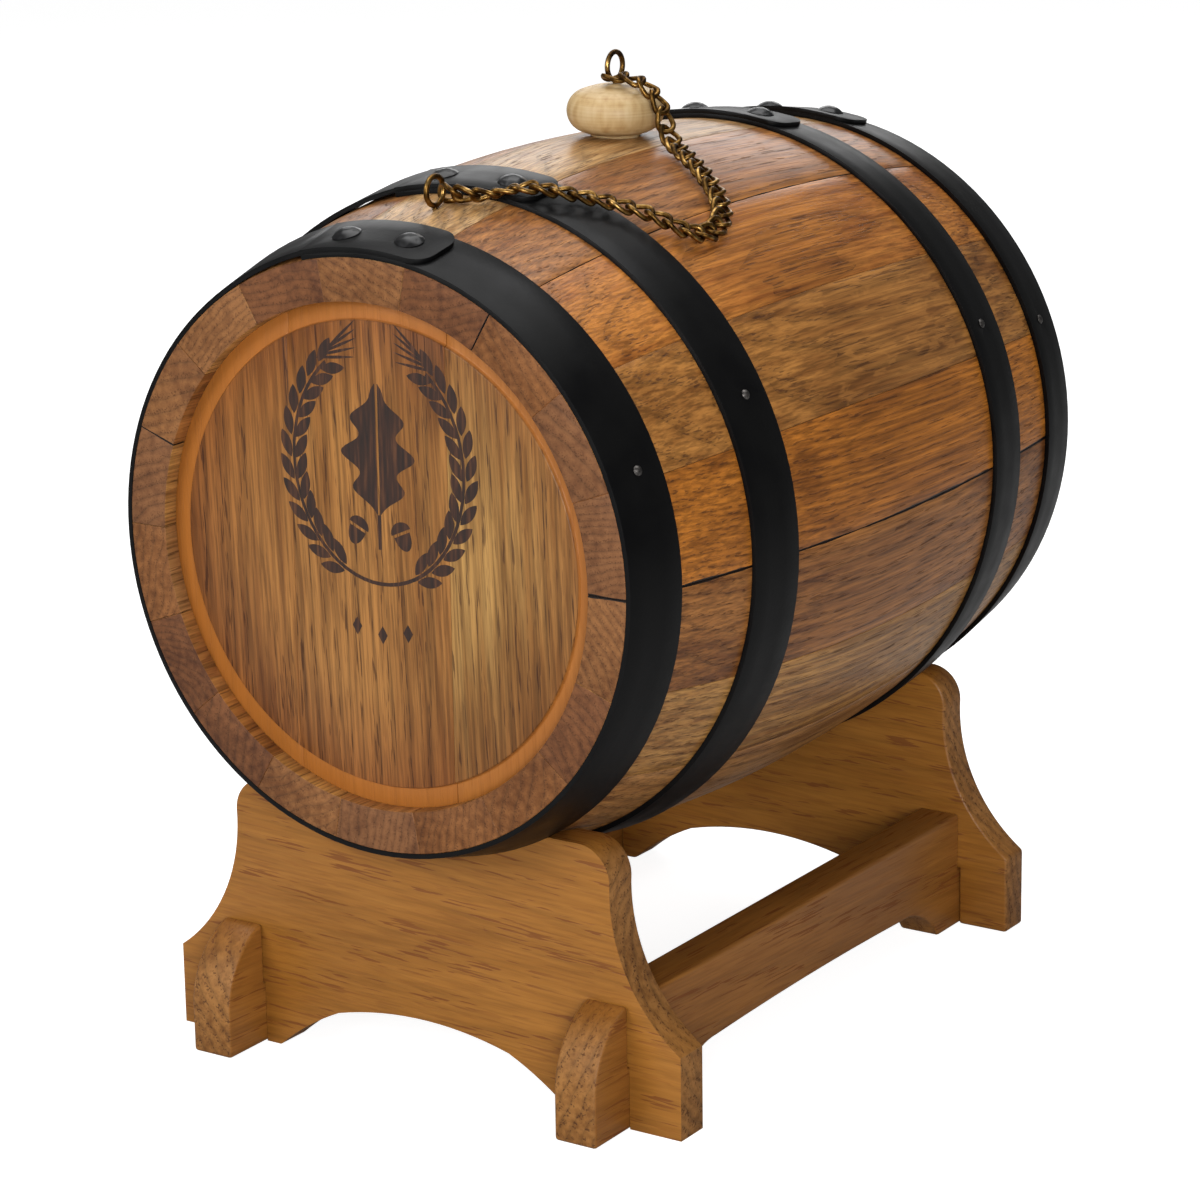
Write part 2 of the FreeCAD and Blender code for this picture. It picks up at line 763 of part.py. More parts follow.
def make_key(boss):
    """Key with its port across the spigot, so the tap is shut at rest."""
    half = size("tap_boss_radius")
    stem = size("key_stem_length")
    bar = size("key_bar_radius")
    slope = (size("key_top_radius") - size("key_foot_radius")) / (2 * half)
    proud = 1.5
    body = new_body("tap_key")
    turned(body, "key_shape", "XZ_Plane", "V_Axis", [
        (0, -half - proud),
        (size("key_foot_radius") - slope * proud, -half - proud),
        (size("key_top_radius"), half),
        (bar * 0.8, half + stem * 0.5),
        (bar * 0.8, half + stem),
        (0, half + stem),
    ])
    handle = body.newObject("PartDesign::AdditiveCylinder", "key_bar")
    bind(handle, Radius=bar, Height=size("key_bar_length"))
    place(handle, -size("key_bar_length") / 2, 0, half + stem, ALONG_X)
    body.Tip = handle
    bored(body, "key_port", size("tap_bore_radius"), size("tap_boss_radius") * 4, ALONG_X,
          size("tap_boss_radius") * -2, 0, 0)
    place(body, 0, boss, TAP_HEIGHT)


def make_washer():
    body = new_body("tap_washer")
    inner = size("tenon_radius") + size("tap_fit_gap")
    turned(body, "washer_shape", "YZ_Plane", "H_Axis", [
        (HEAD_FACE, inner),
        (HEAD_FACE, size("tap_flange_radius")),
        (HEAD_FACE + size("washer_thickness"), size("tap_flange_radius")),
        (HEAD_FACE + size("washer_thickness"), inner),
    ])
    place(body, 0, 0, TAP_HEIGHT)


make_key(make_tap())
make_washer()

# Chain: links of brass wire, each a quarter turn from the next, from the bung's eye over the knob
# and along the staves to the cask's eye. Each stop of its route is a place across the cask, a share
# of the way along it from the bung to the cask's eye, and a height over the wood.

CHAIN_ROUTE = [
    (2.0, 0.0317, 17.9),
    (7.3, 0.0275, 17.8),
    (11.8, 0.0254, 16.7),
    (15.4, 0.0243, 14.0),
    (18.4, 0.0254, 9.8),
    (20.0, 0.0328, 5.9),
    (23.6, 0.0571, 3.2),
    (28.5, 0.0974, 2.8),
    (37.5, 0.1566, 2.8),
    (46.0, 0.218, 2.8),
    (53.0, 0.2815, 2.8),
    (58.2, 0.3619, 2.8),
    (60.2, 0.4571, 2.8),
    (58.0, 0.5439, 3.2),
    (52.2, 0.6074, 4.3),
    (45.0, 0.6561, 4.3),
    (36.8, 0.7175, 4.3),
    (28.8, 0.7937, 5.2),
    (21.8, 0.8656, 5.9),
    (14.2, 0.9206, 4.0),
    (7.2, 0.9545, 3.6),
    (2.0, 0.9566, 3.4),
]
LINK_LEAN = 45.0
LAST_LEANS = (-55.0, 15.0)


def chain_point(x, share, height):
    start = size("bung_offset").value
    y = start - share * (start + EYE_PLACE.value)
    end = "front" if y < 0 else "rear"
    radius = wood_radius(end, abs(y)).value + height
    return AXIS + Vector(x, y, math.sqrt(radius * radius - x * x))


def make_link():
    """Straight-sided oval link along X, lying in the XY plane."""
    wire = size("link_wire_radius").value
    bend = size("link_width").value / 2 - wire
    straight = size("link_length").value / 2 - wire - bend
    halves = []
    for way, turn in ((1, -90), (-1, 90)):
        bow = Part.makeTorus(bend, wire, Vector(), UPWARDS, 0, 360, 180)
        bow.Placement = Placement(Vector(way * straight, 0, 0), Rotation(UPWARDS, turn))
        halves.append(bow)
    for side in (bend, -bend):
        halves.append(Part.makeCylinder(wire, 2 * straight, Vector(-straight, side, 0), LEFT_TO_RIGHT))
    return halves[0].fuse(halves[1:]).removeSplitter().Solids[0]


def make_chain():
    route = Part.BSplineCurve()
    route.interpolate([chain_point(*stop) for stop in CHAIN_ROUTE])
    pitch = size("link_length").value - 4 * size("link_wire_radius").value - size("link_play").value
    pairs = int(round(route.length() / pitch / 2))
    pitch = route.length() / (2 * pairs)
    leans = [LINK_LEAN, -LINK_LEAN] * pairs + [LINK_LEAN]
    leans[-2:] = LAST_LEANS
    print("chain route %.1f mm, link pitch %.2f mm" % (route.length(), pitch))
    link = make_link()
    links = []
    for index, tilt in enumerate(leans):
        spot = route.parameterAtDistance(index * pitch, route.FirstParameter)
        centre = route.value(spot)
        along = route.tangent(spot)[0]
        outward = centre - Vector(AXIS.x, centre.y, AXIS.z)
        lean = Rotation(along, tilt)
        facing = Rotation(along, outward.cross(along), outward, "XZY")
        copy = link.copy()
        copy.Placement = Placement(centre, lean.multiply(facing))
        links.append(copy)
    group("chain", links)


make_chain()

# Cradle: two shaped boards crossed by two rails in half-lap joints

RAIL_MIDDLE = size("rail_outer_reach") - size("rail_thickness") / 2
BOARD_FACE = HALF_LENGTH - size("hoop_width") - size("board_hoop_gap")
BOARD_MIDDLE = BOARD_FACE - size("board_thickness") / 2
RAIL_HALF_LENGTH = BOARD_FACE + size("rail_nose_length")
LAP_HEIGHT = size("rail_height") / 2


def mirrored(corners):
    """Left half of an outline that runs from the bottom right up to the top right."""
    left = []
    for index in range(len(corners) - 1, -1, -1):
        across, up = corners[index][:2]
        bend = corners[index - 1][2:] if index else ()
        left.append((-across, up) + bend)
    return left


def flat_arch_bend(half_span, dip):
    return (half_span * half_span + dip * dip) / (2 * dip)


def flank_bend(run, rise, bulge):
    """Radius of the arc over a sloping chord that stands out by bulge at its middle."""
    half_chord = root(run * run + rise * rise) / 2
    return (half_chord * half_chord + bulge * bulge) / (2 * bulge)


def make_cradle_board(label, way):
    arch_side = size("board_arch_height") - size("board_arch_dip")
    flank_run = size("foot_inner_reach") - size("board_arch_flat")
    shoulder = size("axis_height") - BILGE + size("shoulder_rise")
    right = [
        (size("board_arch_flat"), arch_side, -flank_bend(flank_run, arch_side, 1.0)),
        (size("foot_inner_reach"), 0),
        (size("foot_reach"), 0),
        (size("foot_reach"), size("foot_height"), -size("waist_curve")),
        (size("waist_reach"), shoulder - size("shoulder_drop"), size("shoulder_drop") * 1.02),
        (size("shoulder_reach"), shoulder),
    ]
    arch = flat_arch_bend(size("board_arch_flat"), size("board_arch_dip"))
    left = mirrored(right)
    left[-1] = left[-1][:2] + (-arch,)
    body = new_body(label)
    plank(body, label + "_shape", "XZ_Plane", size("board_thickness"), right + left)
    end = "front" if way < 0 else "rear"
    margin = 1.0
    near = BOARD_MIDDLE - size("board_thickness") / 2 - margin
    far = BOARD_MIDDLE + size("board_thickness") / 2 + margin
    radii = [wood_radius(end, along) + size("seat_gap") for along in (near, far)]
    if way < 0:
        radii.reverse()
    seat = body.newObject("PartDesign::SubtractiveCone", label + "_seat")
    bind(seat, Radius1=radii[0], Radius2=radii[1], Height=far - near)
    place(seat, 0, -(far - near) / 2, size("axis_height"), ALONG_Y)
    body.Tip = seat
    half_slot = size("rail_thickness") / 2 + size("lap_joint_gap")
    for side, name in ((1, "right"), (-1, "left")):
        low = (side * RAIL_MIDDLE - half_slot, -size("board_thickness"), -margin)
        high = (side * RAIL_MIDDLE + half_slot, size("board_thickness"), LAP_HEIGHT + size("lap_joint_gap"))
        notched(body, "%s_%s_lap" % (label, name), low, high)
    place(body, 0, way * BOARD_MIDDLE, 0)


def make_rail(label, way):
    arch_side = size("rail_arch_height") - size("rail_arch_dip")
    foot_inner = RAIL_HALF_LENGTH - size("rail_foot_length")
    arch_flat = foot_inner - size("rail_arch_run")
    height = size("rail_height")
    nose = height - size("rail_end_face")
    right = [
        (arch_flat, arch_side, -flank_bend(size("rail_arch_run"), arch_side, 3.5)),
        (foot_inner, 0),
        (RAIL_HALF_LENGTH, 0),
        (RAIL_HALF_LENGTH, size("rail_end_face"), flank_bend(size("rail_nose_length"), nose, 4.5)),
        (BOARD_FACE, height),
    ]
    left = mirrored(right)
    left[-1] = left[-1][:2] + (-flat_arch_bend(arch_flat, size("rail_arch_dip")),)
    body = new_body(label)
    plank(body, label + "_shape", "YZ_Plane", size("rail_thickness"), right + left)
    half_slot = size("board_thickness") / 2 + size("lap_joint_gap")
    for side, name in ((1, "rear"), (-1, "front")):
        low = (-size("rail_thickness"), side * BOARD_MIDDLE - half_slot, LAP_HEIGHT)
        high = (size("rail_thickness"), side * BOARD_MIDDLE + half_slot, height * 2)
        notched(body, "%s_%s_lap" % (label, name), low, high)
    place(body, way * RAIL_MIDDLE, 0, 0)


make_cradle_board("front_cradle_board", -1)
make_cradle_board("rear_cradle_board", 1)
make_rail("right_rail", 1)
make_rail("left_rail", -1)

# Check every object, then write one file for each sub-part

doc.recompute()
for item in doc.Objects:
    faults = [state for state in item.State if state in ("Invalid", "Error")]
    if faults:
        raise RuntimeError("%s is %s" % (item.Label, faults))

sub_parts = [item for item in doc.Objects if item.TypeId == "PartDesign::Body"]
sub_parts += [item for item in doc.Objects if item.TypeId == "Part::Feature"]
for item in sub_parts:
    shape = item.Shape
    if shape.isNull() or not shape.isValid() or not shape.Solids:
        raise RuntimeError("%s has no valid solid" % item.Label)
for item in sub_parts:
    item.Shape.exportStep("parts/%s.step" % item.Label)
    print("%-28s %2d solids %12.1f mm3" % (item.Label, len(item.Shape.Solids), item.Shape.Volume))
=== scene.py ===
import json
import math

import bpy
from mathutils import Euler, Matrix, Quaternion, Vector

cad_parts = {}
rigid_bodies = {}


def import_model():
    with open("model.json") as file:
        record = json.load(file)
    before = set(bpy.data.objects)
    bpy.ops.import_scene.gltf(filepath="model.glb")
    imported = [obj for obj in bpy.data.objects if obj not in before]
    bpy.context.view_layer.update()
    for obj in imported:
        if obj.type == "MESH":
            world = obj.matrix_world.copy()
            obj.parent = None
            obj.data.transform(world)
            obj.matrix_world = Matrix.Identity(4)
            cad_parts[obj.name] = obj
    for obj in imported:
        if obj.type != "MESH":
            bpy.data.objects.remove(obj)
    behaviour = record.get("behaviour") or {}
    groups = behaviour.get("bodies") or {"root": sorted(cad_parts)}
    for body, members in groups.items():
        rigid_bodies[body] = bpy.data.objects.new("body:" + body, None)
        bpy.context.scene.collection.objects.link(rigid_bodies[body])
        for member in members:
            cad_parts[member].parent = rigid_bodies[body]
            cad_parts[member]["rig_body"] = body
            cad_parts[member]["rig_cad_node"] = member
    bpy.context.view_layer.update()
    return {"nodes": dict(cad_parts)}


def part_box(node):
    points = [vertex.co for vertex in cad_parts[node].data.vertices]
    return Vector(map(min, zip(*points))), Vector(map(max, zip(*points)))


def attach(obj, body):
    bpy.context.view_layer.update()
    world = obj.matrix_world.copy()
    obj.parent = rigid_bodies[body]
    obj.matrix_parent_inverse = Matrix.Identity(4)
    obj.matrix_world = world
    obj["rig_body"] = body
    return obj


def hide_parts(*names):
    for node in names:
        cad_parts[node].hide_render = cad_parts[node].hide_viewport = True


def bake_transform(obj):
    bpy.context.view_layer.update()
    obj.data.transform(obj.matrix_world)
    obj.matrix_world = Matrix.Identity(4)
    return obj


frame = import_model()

# Camera: sees the cask as in a catalogue picture, from the front and the right and a little above,
# with a long lens so that the cask keeps its shape. Angles are in degrees, places in metres.

CAMERA_TURN = 33.41
CAMERA_RISE = 15.47
CAMERA_ROLL = -0.84
CAMERA_DISTANCE = 1.22304
LENS_MM = 117.81
LOOKED_AT = (-0.00299, -0.00194, 0.12285)

swing = Euler((math.radians(-CAMERA_RISE), 0, math.radians(CAMERA_TURN)), "XYZ").to_matrix()
to_camera = swing @ Vector((0, -1, 0))
roll = Quaternion((0, 0, 1), math.radians(CAMERA_ROLL))
camera = bpy.data.objects.new("camera", bpy.data.cameras.new("camera"))
bpy.context.collection.objects.link(camera)
camera.data.lens = LENS_MM
camera.data.sensor_width = 36
camera.location = Vector(LOOKED_AT) + to_camera * CAMERA_DISTANCE
camera.rotation_mode = "QUATERNION"
camera.rotation_quaternion = (-to_camera).to_track_quat("-Z", "Y") @ roll
bpy.context.scene.camera = camera

# Studio: white paper on a light table, in a dim room with four soft boxes. The wide one overhead and
# the one behind give the hoops their grey sheen, and of the two in front the right one is stronger.

ROOM_LIGHT = 0.15
BACKDROP_LIGHT = 1.0
TABLE_SIZE = 14
TABLE_GLOW = 0.88


def srgb(code):
    """Linear colour of an sRGB hex value."""
    parts = [int(code[i:i + 2], 16) / 255 for i in (1, 3, 5)]
    return [c / 12.92 if c <= 0.04045 else ((c + 0.055) / 1.055) ** 2.4 for c in parts] + [1.0]


def add(tree, kind, links=None, stops=None, **settings):
    """Adds a node with its settings.

    links gives each input its value or the output that feeds it, and stops a ramp's places and shades.
    """
    made = tree.nodes.new(kind)
    for name, value in settings.items():
        setattr(made, name, value)
    for socket, source in (links or {}).items():
        if isinstance(source, bpy.types.NodeSocket):
            tree.links.new(source, made.inputs[socket])
        else:
            made.inputs[socket].default_value = source
    if stops:
        steps = made.color_ramp.elements
        while len(steps) < len(stops):
            steps.new(0.5)
        for step, (place, shade) in zip(steps, stops):
            step.position = place
            step.color = srgb(shade) if isinstance(shade, str) else [shade, shade, shade, 1]
    return made


def new_material(name):
    """Empty material, with its node tree and its shader."""
    material = bpy.data.materials.new(name)
    material.use_nodes = True
    return material, material.node_tree, material.node_tree.nodes["Principled BSDF"]


bpy.context.scene.view_settings.view_transform = "Standard"
world = bpy.data.worlds.new("studio")
bpy.context.scene.world = world
world.use_nodes = True
sky = world.node_tree.nodes["Background"]
sky.inputs["Color"].default_value = srgb("#FFFFFF")
# The camera sees a white backdrop, while the room itself is dim
ray = add(world.node_tree, "ShaderNodeLightPath")
brightness = add(world.node_tree, "ShaderNodeMath",
                 {0: ray.outputs["Is Camera Ray"], 1: BACKDROP_LIGHT - ROOM_LIGHT, 2: ROOM_LIGHT},
                 operation="MULTIPLY_ADD")
world.node_tree.links.new(brightness.outputs[0], sky.inputs["Strength"])


def soft_box(name, place, aim, width, depth, watts):
    """Rectangle of diffuse light that hangs at its place and shines towards its aim."""
    light = bpy.data.lights.new(name, "AREA")
    light.shape = "RECTANGLE"
    light.size, light.size_y, light.energy = width, depth, watts
    box = bpy.data.objects.new(name, light)
    bpy.context.collection.objects.link(box)
    box.location = place
    box.rotation_euler = (Vector(aim) - Vector(place)).to_track_quat("-Z", "Y").to_euler()


soft_box("overhead_box", (-0.15, 0.2, 1.5), aim=(0, 0.02, 0.15), width=1.4, depth=1.1, watts=15)
soft_box("left_front_box", (-0.6, -1.7, 0.95), aim=(0, 0, 0.15), width=0.9, depth=0.9, watts=16)
soft_box("right_front_box", (1.15, -1.45, 0.6), aim=(0, 0, 0.12), width=0.7, depth=0.7, watts=21)
soft_box("rear_top_box", (-0.9, 1.5, 0.85), aim=(0, 0, 0.2), width=1.1, depth=0.6, watts=6)

bpy.ops.object.select_all(action="DESELECT")
bpy.ops.mesh.primitive_plane_add(size=TABLE_SIZE, location=(0, 0, 0))
table = bpy.context.object
table.name = "studio_table"
# Matt paper, lit from below: its glow shows only to the camera, so the cask's shadow stays faint
# and no light from it reaches the wood
paper, tree, shader = new_material("matt_white_paper")
shader.inputs["Base Color"].default_value = srgb("#BEBEBE")
shader.inputs["Roughness"].default_value = 0.7
shader.inputs["Specular IOR Level"].default_value = 0.1
ray = add(tree, "ShaderNodeLightPath")
glow = add(tree, "ShaderNodeMath", {0: ray.outputs["Is Camera Ray"], 1: TABLE_GLOW}, operation="MULTIPLY")
shader.inputs["Emission Color"].default_value = srgb("#FFFFFF")
tree.links.new(glow.outputs[0], shader.inputs["Emission Strength"])
table.data.materials.append(paper)

# Staves: split oak planks, bent and planed, under a thin satin varnish. They come from several
# trees, so each has its own tone, and their end grain at the chime is greyer and rougher.

STAVE_EDGE_MM = 0.22
AXIS_HEIGHT = 0.1644
GRAIN_TURN = {"x": (0, math.radians(-90), 0), "y": (math.radians(90), 0, 0), "z": (0, 0, 0)}
GRAIN_WAY = {"x": (1, 0, 0), "y": (0, 1, 0), "z": (0, 0, 1)}
# Noise scales, per metre across the grain, with the width that each gives
WANDER_SCALE = 28.0      # rings that wander over 36 mm
WANDER_REACH = 0.016     # by up to 8 mm to each side
CLOUD_SCALE = 34.0       # clouds of tone, 30 mm
RAY_SCALE = 240.0        # ray flecks, 4 mm
STREAK_SCALE = 420.0     # streaks, 2.4 mm
FIBRE_SCALE = 1300.0     # hair lines, 0.8 mm, coarser than real fibres so that they show
PORE_SCALE = 540.0       # divided by a pore's width in millimetres
RING_SCALE = 0.3142      # divided by the rings' spacing in metres
# Scale along the grain, as a share of the scale across it: the smaller, the longer a pattern is
RING_STRETCH, CLOUD_STRETCH, PORE_STRETCH, FIBRE_STRETCH = 0.1, 0.3, 0.045, 0.02


def oak(name, grain, pale, deep, pith, lean=(2.0, 1.5), ring_mm=2.6, pore_mm=0.4, pore_share=0.6,
        pore_dark="#3A1C0C", end_pale="#A07A56", end_deep="#6E4A2E", flecks=0.0, figure=1.0, sheen=0.36):
    """Varnished oak whose rings run round a pith off to the side, with long pores along the grain.

    pith is how far the heart of the tree lies across and in, in millimetres, and lean the grain's
    slant in degrees. figure says how strongly the grain shows, and sheen how rough the varnish is.
    """
    material, tree, shader = new_material(name)
    place = add(tree, "ShaderNodeTexCoord")
    upright = add(tree, "ShaderNodeMapping",
                  {"Vector": place.outputs["Object"], "Rotation": GRAIN_TURN[grain]})
    leaning = add(tree, "ShaderNodeMapping", {
        "Vector": upright.outputs[0], "Rotation": [math.radians(lean[0]), math.radians(lean[1]), 0],
        "Location": [pith[0] / 1000, pith[1] / 1000, pith[0] / 5000]})
    # Slow wander of the rings, ten times longer along the grain than across it
    slow = add(tree, "ShaderNodeMapping", {"Vector": leaning.outputs[0], "Scale": (1, 1, RING_STRETCH)})
    wander = add(tree, "ShaderNodeTexNoise",
                 {"Vector": slow.outputs[0], "Scale": WANDER_SCALE, "Detail": 3.0})
    centred = add(tree, "ShaderNodeVectorMath", {0: wander.outputs["Color"], 1: (0.5, 0.5, 0.5)},
                  operation="SUBTRACT")
    pushed = add(tree, "ShaderNodeVectorMath", {0: centred.outputs[0], "Scale": WANDER_REACH},
                 operation="SCALE")
    wavy = add(tree, "ShaderNodeVectorMath", {0: leaning.outputs[0], 1: pushed.outputs[0]}, operation="ADD")
    # Rings: pale late wood after a dark and porous line of early wood
    rings = add(tree, "ShaderNodeTexWave",
                {"Vector": wavy.outputs[0], "Scale": RING_SCALE / (ring_mm / 1000)},
                wave_type="RINGS", rings_direction="Z", wave_profile="SAW")
    ring_shade = add(tree, "ShaderNodeValToRGB", {0: rings.outputs["Fac"]},
                     stops=[(0.0, 0.5), (0.25, 0.86), (0.7, 1.0), (1.0, 0.72)])
    porous = add(tree, "ShaderNodeValToRGB", {0: rings.outputs["Fac"]},
                 stops=[(0.0, 1.0), (0.35, 0.9), (0.55, 0.3), (1.0, 0.25)])
    # Pores: fine dark dashes, over twenty times as long as they are wide
    long_way = add(tree, "ShaderNodeMapping", {"Vector": leaning.outputs[0], "Scale": (1, 1, PORE_STRETCH)})
    dashes = add(tree, "ShaderNodeTexNoise",
                 {"Vector": long_way.outputs[0], "Scale": PORE_SCALE / pore_mm, "Detail": 1.5})
    dash_mask = add(tree, "ShaderNodeValToRGB", {0: dashes.outputs["Fac"]},
                    stops=[(0.565, 0.0), (0.615, 1.0)])
    pores = add(tree, "ShaderNodeMath", {0: dash_mask.outputs[0], 1: porous.outputs[0]},
                operation="MULTIPLY")
    # Fine streaks, and broad clouds of tone as the varnish brings them out
    streaks = add(tree, "ShaderNodeTexNoise",
                  {"Vector": long_way.outputs[0], "Scale": STREAK_SCALE, "Detail": 4.0})
    broad = add(tree, "ShaderNodeMapping", {"Vector": leaning.outputs[0], "Scale": (1, 1, CLOUD_STRETCH)})
    clouds = add(tree, "ShaderNodeTexNoise",
                 {"Vector": broad.outputs[0], "Scale": CLOUD_SCALE, "Detail": 4.0})
    mixed = add(tree, "ShaderNodeMix", {0: 0.5, 2: streaks.outputs["Fac"], 3: clouds.outputs["Fac"]})
    tone = add(tree, "ShaderNodeValToRGB", {0: mixed.outputs[0]},
               stops=[(0.5 - 0.1 / figure, deep), (0.5 + 0.1 / figure, pale)])
    ringed = add(tree, "ShaderNodeMix", {0: 0.65 * figure, 6: tone.outputs[0], 7: ring_shade.outputs[0]},
                 data_type="RGBA", blend_type="MULTIPLY")
    # Fibres: hair lines that catch the varnish
    hair_way = add(tree, "ShaderNodeMapping", {"Vector": leaning.outputs[0], "Scale": (1, 1, FIBRE_STRETCH)})
    fibres = add(tree, "ShaderNodeTexNoise",
                 {"Vector": hair_way.outputs[0], "Scale": FIBRE_SCALE, "Detail": 3.0})
    fibre_shade = add(tree, "ShaderNodeValToRGB", {0: fibres.outputs["Fac"]},
                      stops=[(0.4, 0.58), (0.57, 1.0)])
    fibred = add(tree, "ShaderNodeMix", {0: 0.8 * figure, 6: ringed.outputs[2], 7: fibre_shade.outputs[0]},
                 data_type="RGBA", blend_type="MULTIPLY")
    # Ray flecks: short pale blotches where the saw met the rays
    short_way = add(tree, "ShaderNodeMapping", {"Vector": wavy.outputs[0], "Scale": (1, 1, CLOUD_STRETCH)})
    rays = add(tree, "ShaderNodeTexNoise",
               {"Vector": short_way.outputs[0], "Scale": RAY_SCALE, "Detail": 3.0, "Distortion": 0.6})
    ray_mask = add(tree, "ShaderNodeValToRGB", {0: rays.outputs["Fac"]}, stops=[(0.56, 0.0), (0.62, 1.0)])
    ray_share = add(tree, "ShaderNodeMath", {0: ray_mask.outputs[0], 1: flecks}, operation="MULTIPLY")
    flecked = add(tree, "ShaderNodeMix", {0: ray_share.outputs[0], 6: fibred.outputs[2], 7: srgb(pale)},
                  data_type="RGBA")
    pore_weight = add(tree, "ShaderNodeMath", {0: pores.outputs[0], 1: pore_share}, operation="MULTIPLY")
    face = add(tree, "ShaderNodeMix", {0: pore_weight.outputs[0], 6: flecked.outputs[2], 7: srgb(pore_dark)},
               data_type="RGBA")
    # End grain wherever the surface looks along the grain
    facing = add(tree, "ShaderNodeVectorMath", {0: place.outputs["Normal"], 1: GRAIN_WAY[grain]},
                 operation="DOT_PRODUCT")
    steep = add(tree, "ShaderNodeMath", {0: facing.outputs["Value"]}, operation="ABSOLUTE")
    end_share = add(tree, "ShaderNodeValToRGB", {0: steep.outputs[0]}, stops=[(0.45, 0.0), (0.85, 1.0)])
    end_tone = add(tree, "ShaderNodeValToRGB", {0: mixed.outputs[0]},
                   stops=[(0.38, end_deep), (0.6, end_pale)])
    end_rings = add(tree, "ShaderNodeMix", {0: 0.7, 6: end_tone.outputs[0], 7: ring_shade.outputs[0]},
                    data_type="RGBA", blend_type="MULTIPLY")
    end_face = add(tree, "ShaderNodeMix",
                   {0: pore_weight.outputs[0], 6: end_rings.outputs[2], 7: srgb("#4A2A15")},
                   data_type="RGBA")
    colour = add(tree, "ShaderNodeMix", {0: end_share.outputs[0], 6: face.outputs[2], 7: end_face.outputs[2]},
                 data_type="RGBA")
    tree.links.new(colour.outputs[2], shader.inputs["Base Color"])
    # Satin varnish: duller over the pores and on the end grain, which soaks it up
    shader.inputs["Specular IOR Level"].default_value = 0.3
    dull = add(tree, "ShaderNodeMath", {0: end_share.outputs[0], 1: 0.2, 2: sheen}, operation="MULTIPLY_ADD")
    rough = add(tree, "ShaderNodeMath", {0: pores.outputs[0], 1: 0.2, 2: dull.outputs[0]},
                operation="MULTIPLY_ADD")
    tree.links.new(rough.outputs[0], shader.inputs["Roughness"])
    # Pores are open grooves and fibres fine ridges
    height = add(tree, "ShaderNodeMath", {0: pores.outputs[0], 1: -1.0, 2: fibres.outputs["Fac"]},
                 operation="MULTIPLY_ADD")
    bump = add(tree, "ShaderNodeBump", {"Height": height.outputs[0], "Strength": 0.35, "Distance": 0.00015})
    tree.links.new(bump.outputs[0], shader.inputs["Normal"])
    return material


def open_joint(material, angle, reach_mm):
    """Dark ragged line along a joint, in the plane through the cask's axis at this angle from the top."""
    tree = material.node_tree
    base = tree.nodes["Principled BSDF"].inputs["Base Color"]
    turn = math.radians(angle)
    place = add(tree, "ShaderNodeTexCoord")
    from_axis = add(tree, "ShaderNodeVectorMath", {0: place.outputs["Object"], 1: (0, 0, -AXIS_HEIGHT)},
                    operation="ADD")
    across = add(tree, "ShaderNodeVectorMath",
                 {0: from_axis.outputs[0], 1: (math.cos(turn), 0, -math.sin(turn))},
                 operation="DOT_PRODUCT")
    distance = add(tree, "ShaderNodeMath", {0: across.outputs["Value"]}, operation="ABSOLUTE")
    # The line is between a quarter of its reach and all of it, in bites of about 17 mm
    bites = add(tree, "ShaderNodeTexNoise", {"Vector": place.outputs["Object"], "Scale": 60.0, "Detail": 4.0})
    reach = add(tree, "ShaderNodeMapRange",
                {0: bites.outputs["Fac"], 1: 0.35, 2: 0.65, 3: reach_mm / 4000, 4: reach_mm / 1000})
    inside = add(tree, "ShaderNodeMath", {0: distance.outputs[0], 1: reach.outputs[0]}, operation="LESS_THAN")
    colour = add(tree, "ShaderNodeMix",
                 {0: inside.outputs[0], 6: base.links[0].from_socket, 7: srgb("#170D07")},
                 data_type="RGBA")
    tree.links.new(colour.outputs[2], base)


# How a solid's copy is finished: points closer than this are one, faces flatter than this are one,
# edges sharper than this are eased, and edges softer than this are shaded smooth. Angles in degrees.
MERGE_DISTANCE = 0.000002
FLAT_ANGLE = 0.05
EDGE_ANGLE = 32
SMOOTH_ANGLE = 30


def softened(node, material, body, edge_mm, segments=2):
    """Copy of a solid with its sharp edges eased, in place of the solid itself."""
    bpy.ops.object.select_all(action="DESELECT")
    source = frame["nodes"][node]
    piece = source.copy()
    piece.data = source.data.copy()
    bpy.context.collection.objects.link(piece)
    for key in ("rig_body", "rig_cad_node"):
        if key in piece:
            del piece[key]
    piece.parent = None
    piece.name = node + "_finished"
    piece.select_set(True)
    bpy.context.view_layer.objects.active = piece
    bpy.ops.object.mode_set(mode="EDIT")
    bpy.ops.mesh.select_all(action="SELECT")
    bpy.ops.mesh.remove_doubles(threshold=MERGE_DISTANCE)
    bpy.ops.mesh.dissolve_limited(angle_limit=math.radians(FLAT_ANGLE))
    bpy.ops.object.mode_set(mode="OBJECT")
    bevel = piece.modifiers.new("eased_edges", "BEVEL")
    bevel.width = edge_mm / 1000
    bevel.segments = segments
    bevel.limit_method = "ANGLE"
    bevel.angle_limit = math.radians(EDGE_ANGLE)
    bevel.use_clamp_overlap = True
    bpy.ops.object.modifier_apply(modifier=bevel.name)
    bpy.ops.object.shade_smooth_by_angle(angle=math.radians(SMOOTH_ANGLE))
    piece.data.materials.clear()
    piece.data.materials.append(material)
    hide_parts(node)
    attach(piece, body)


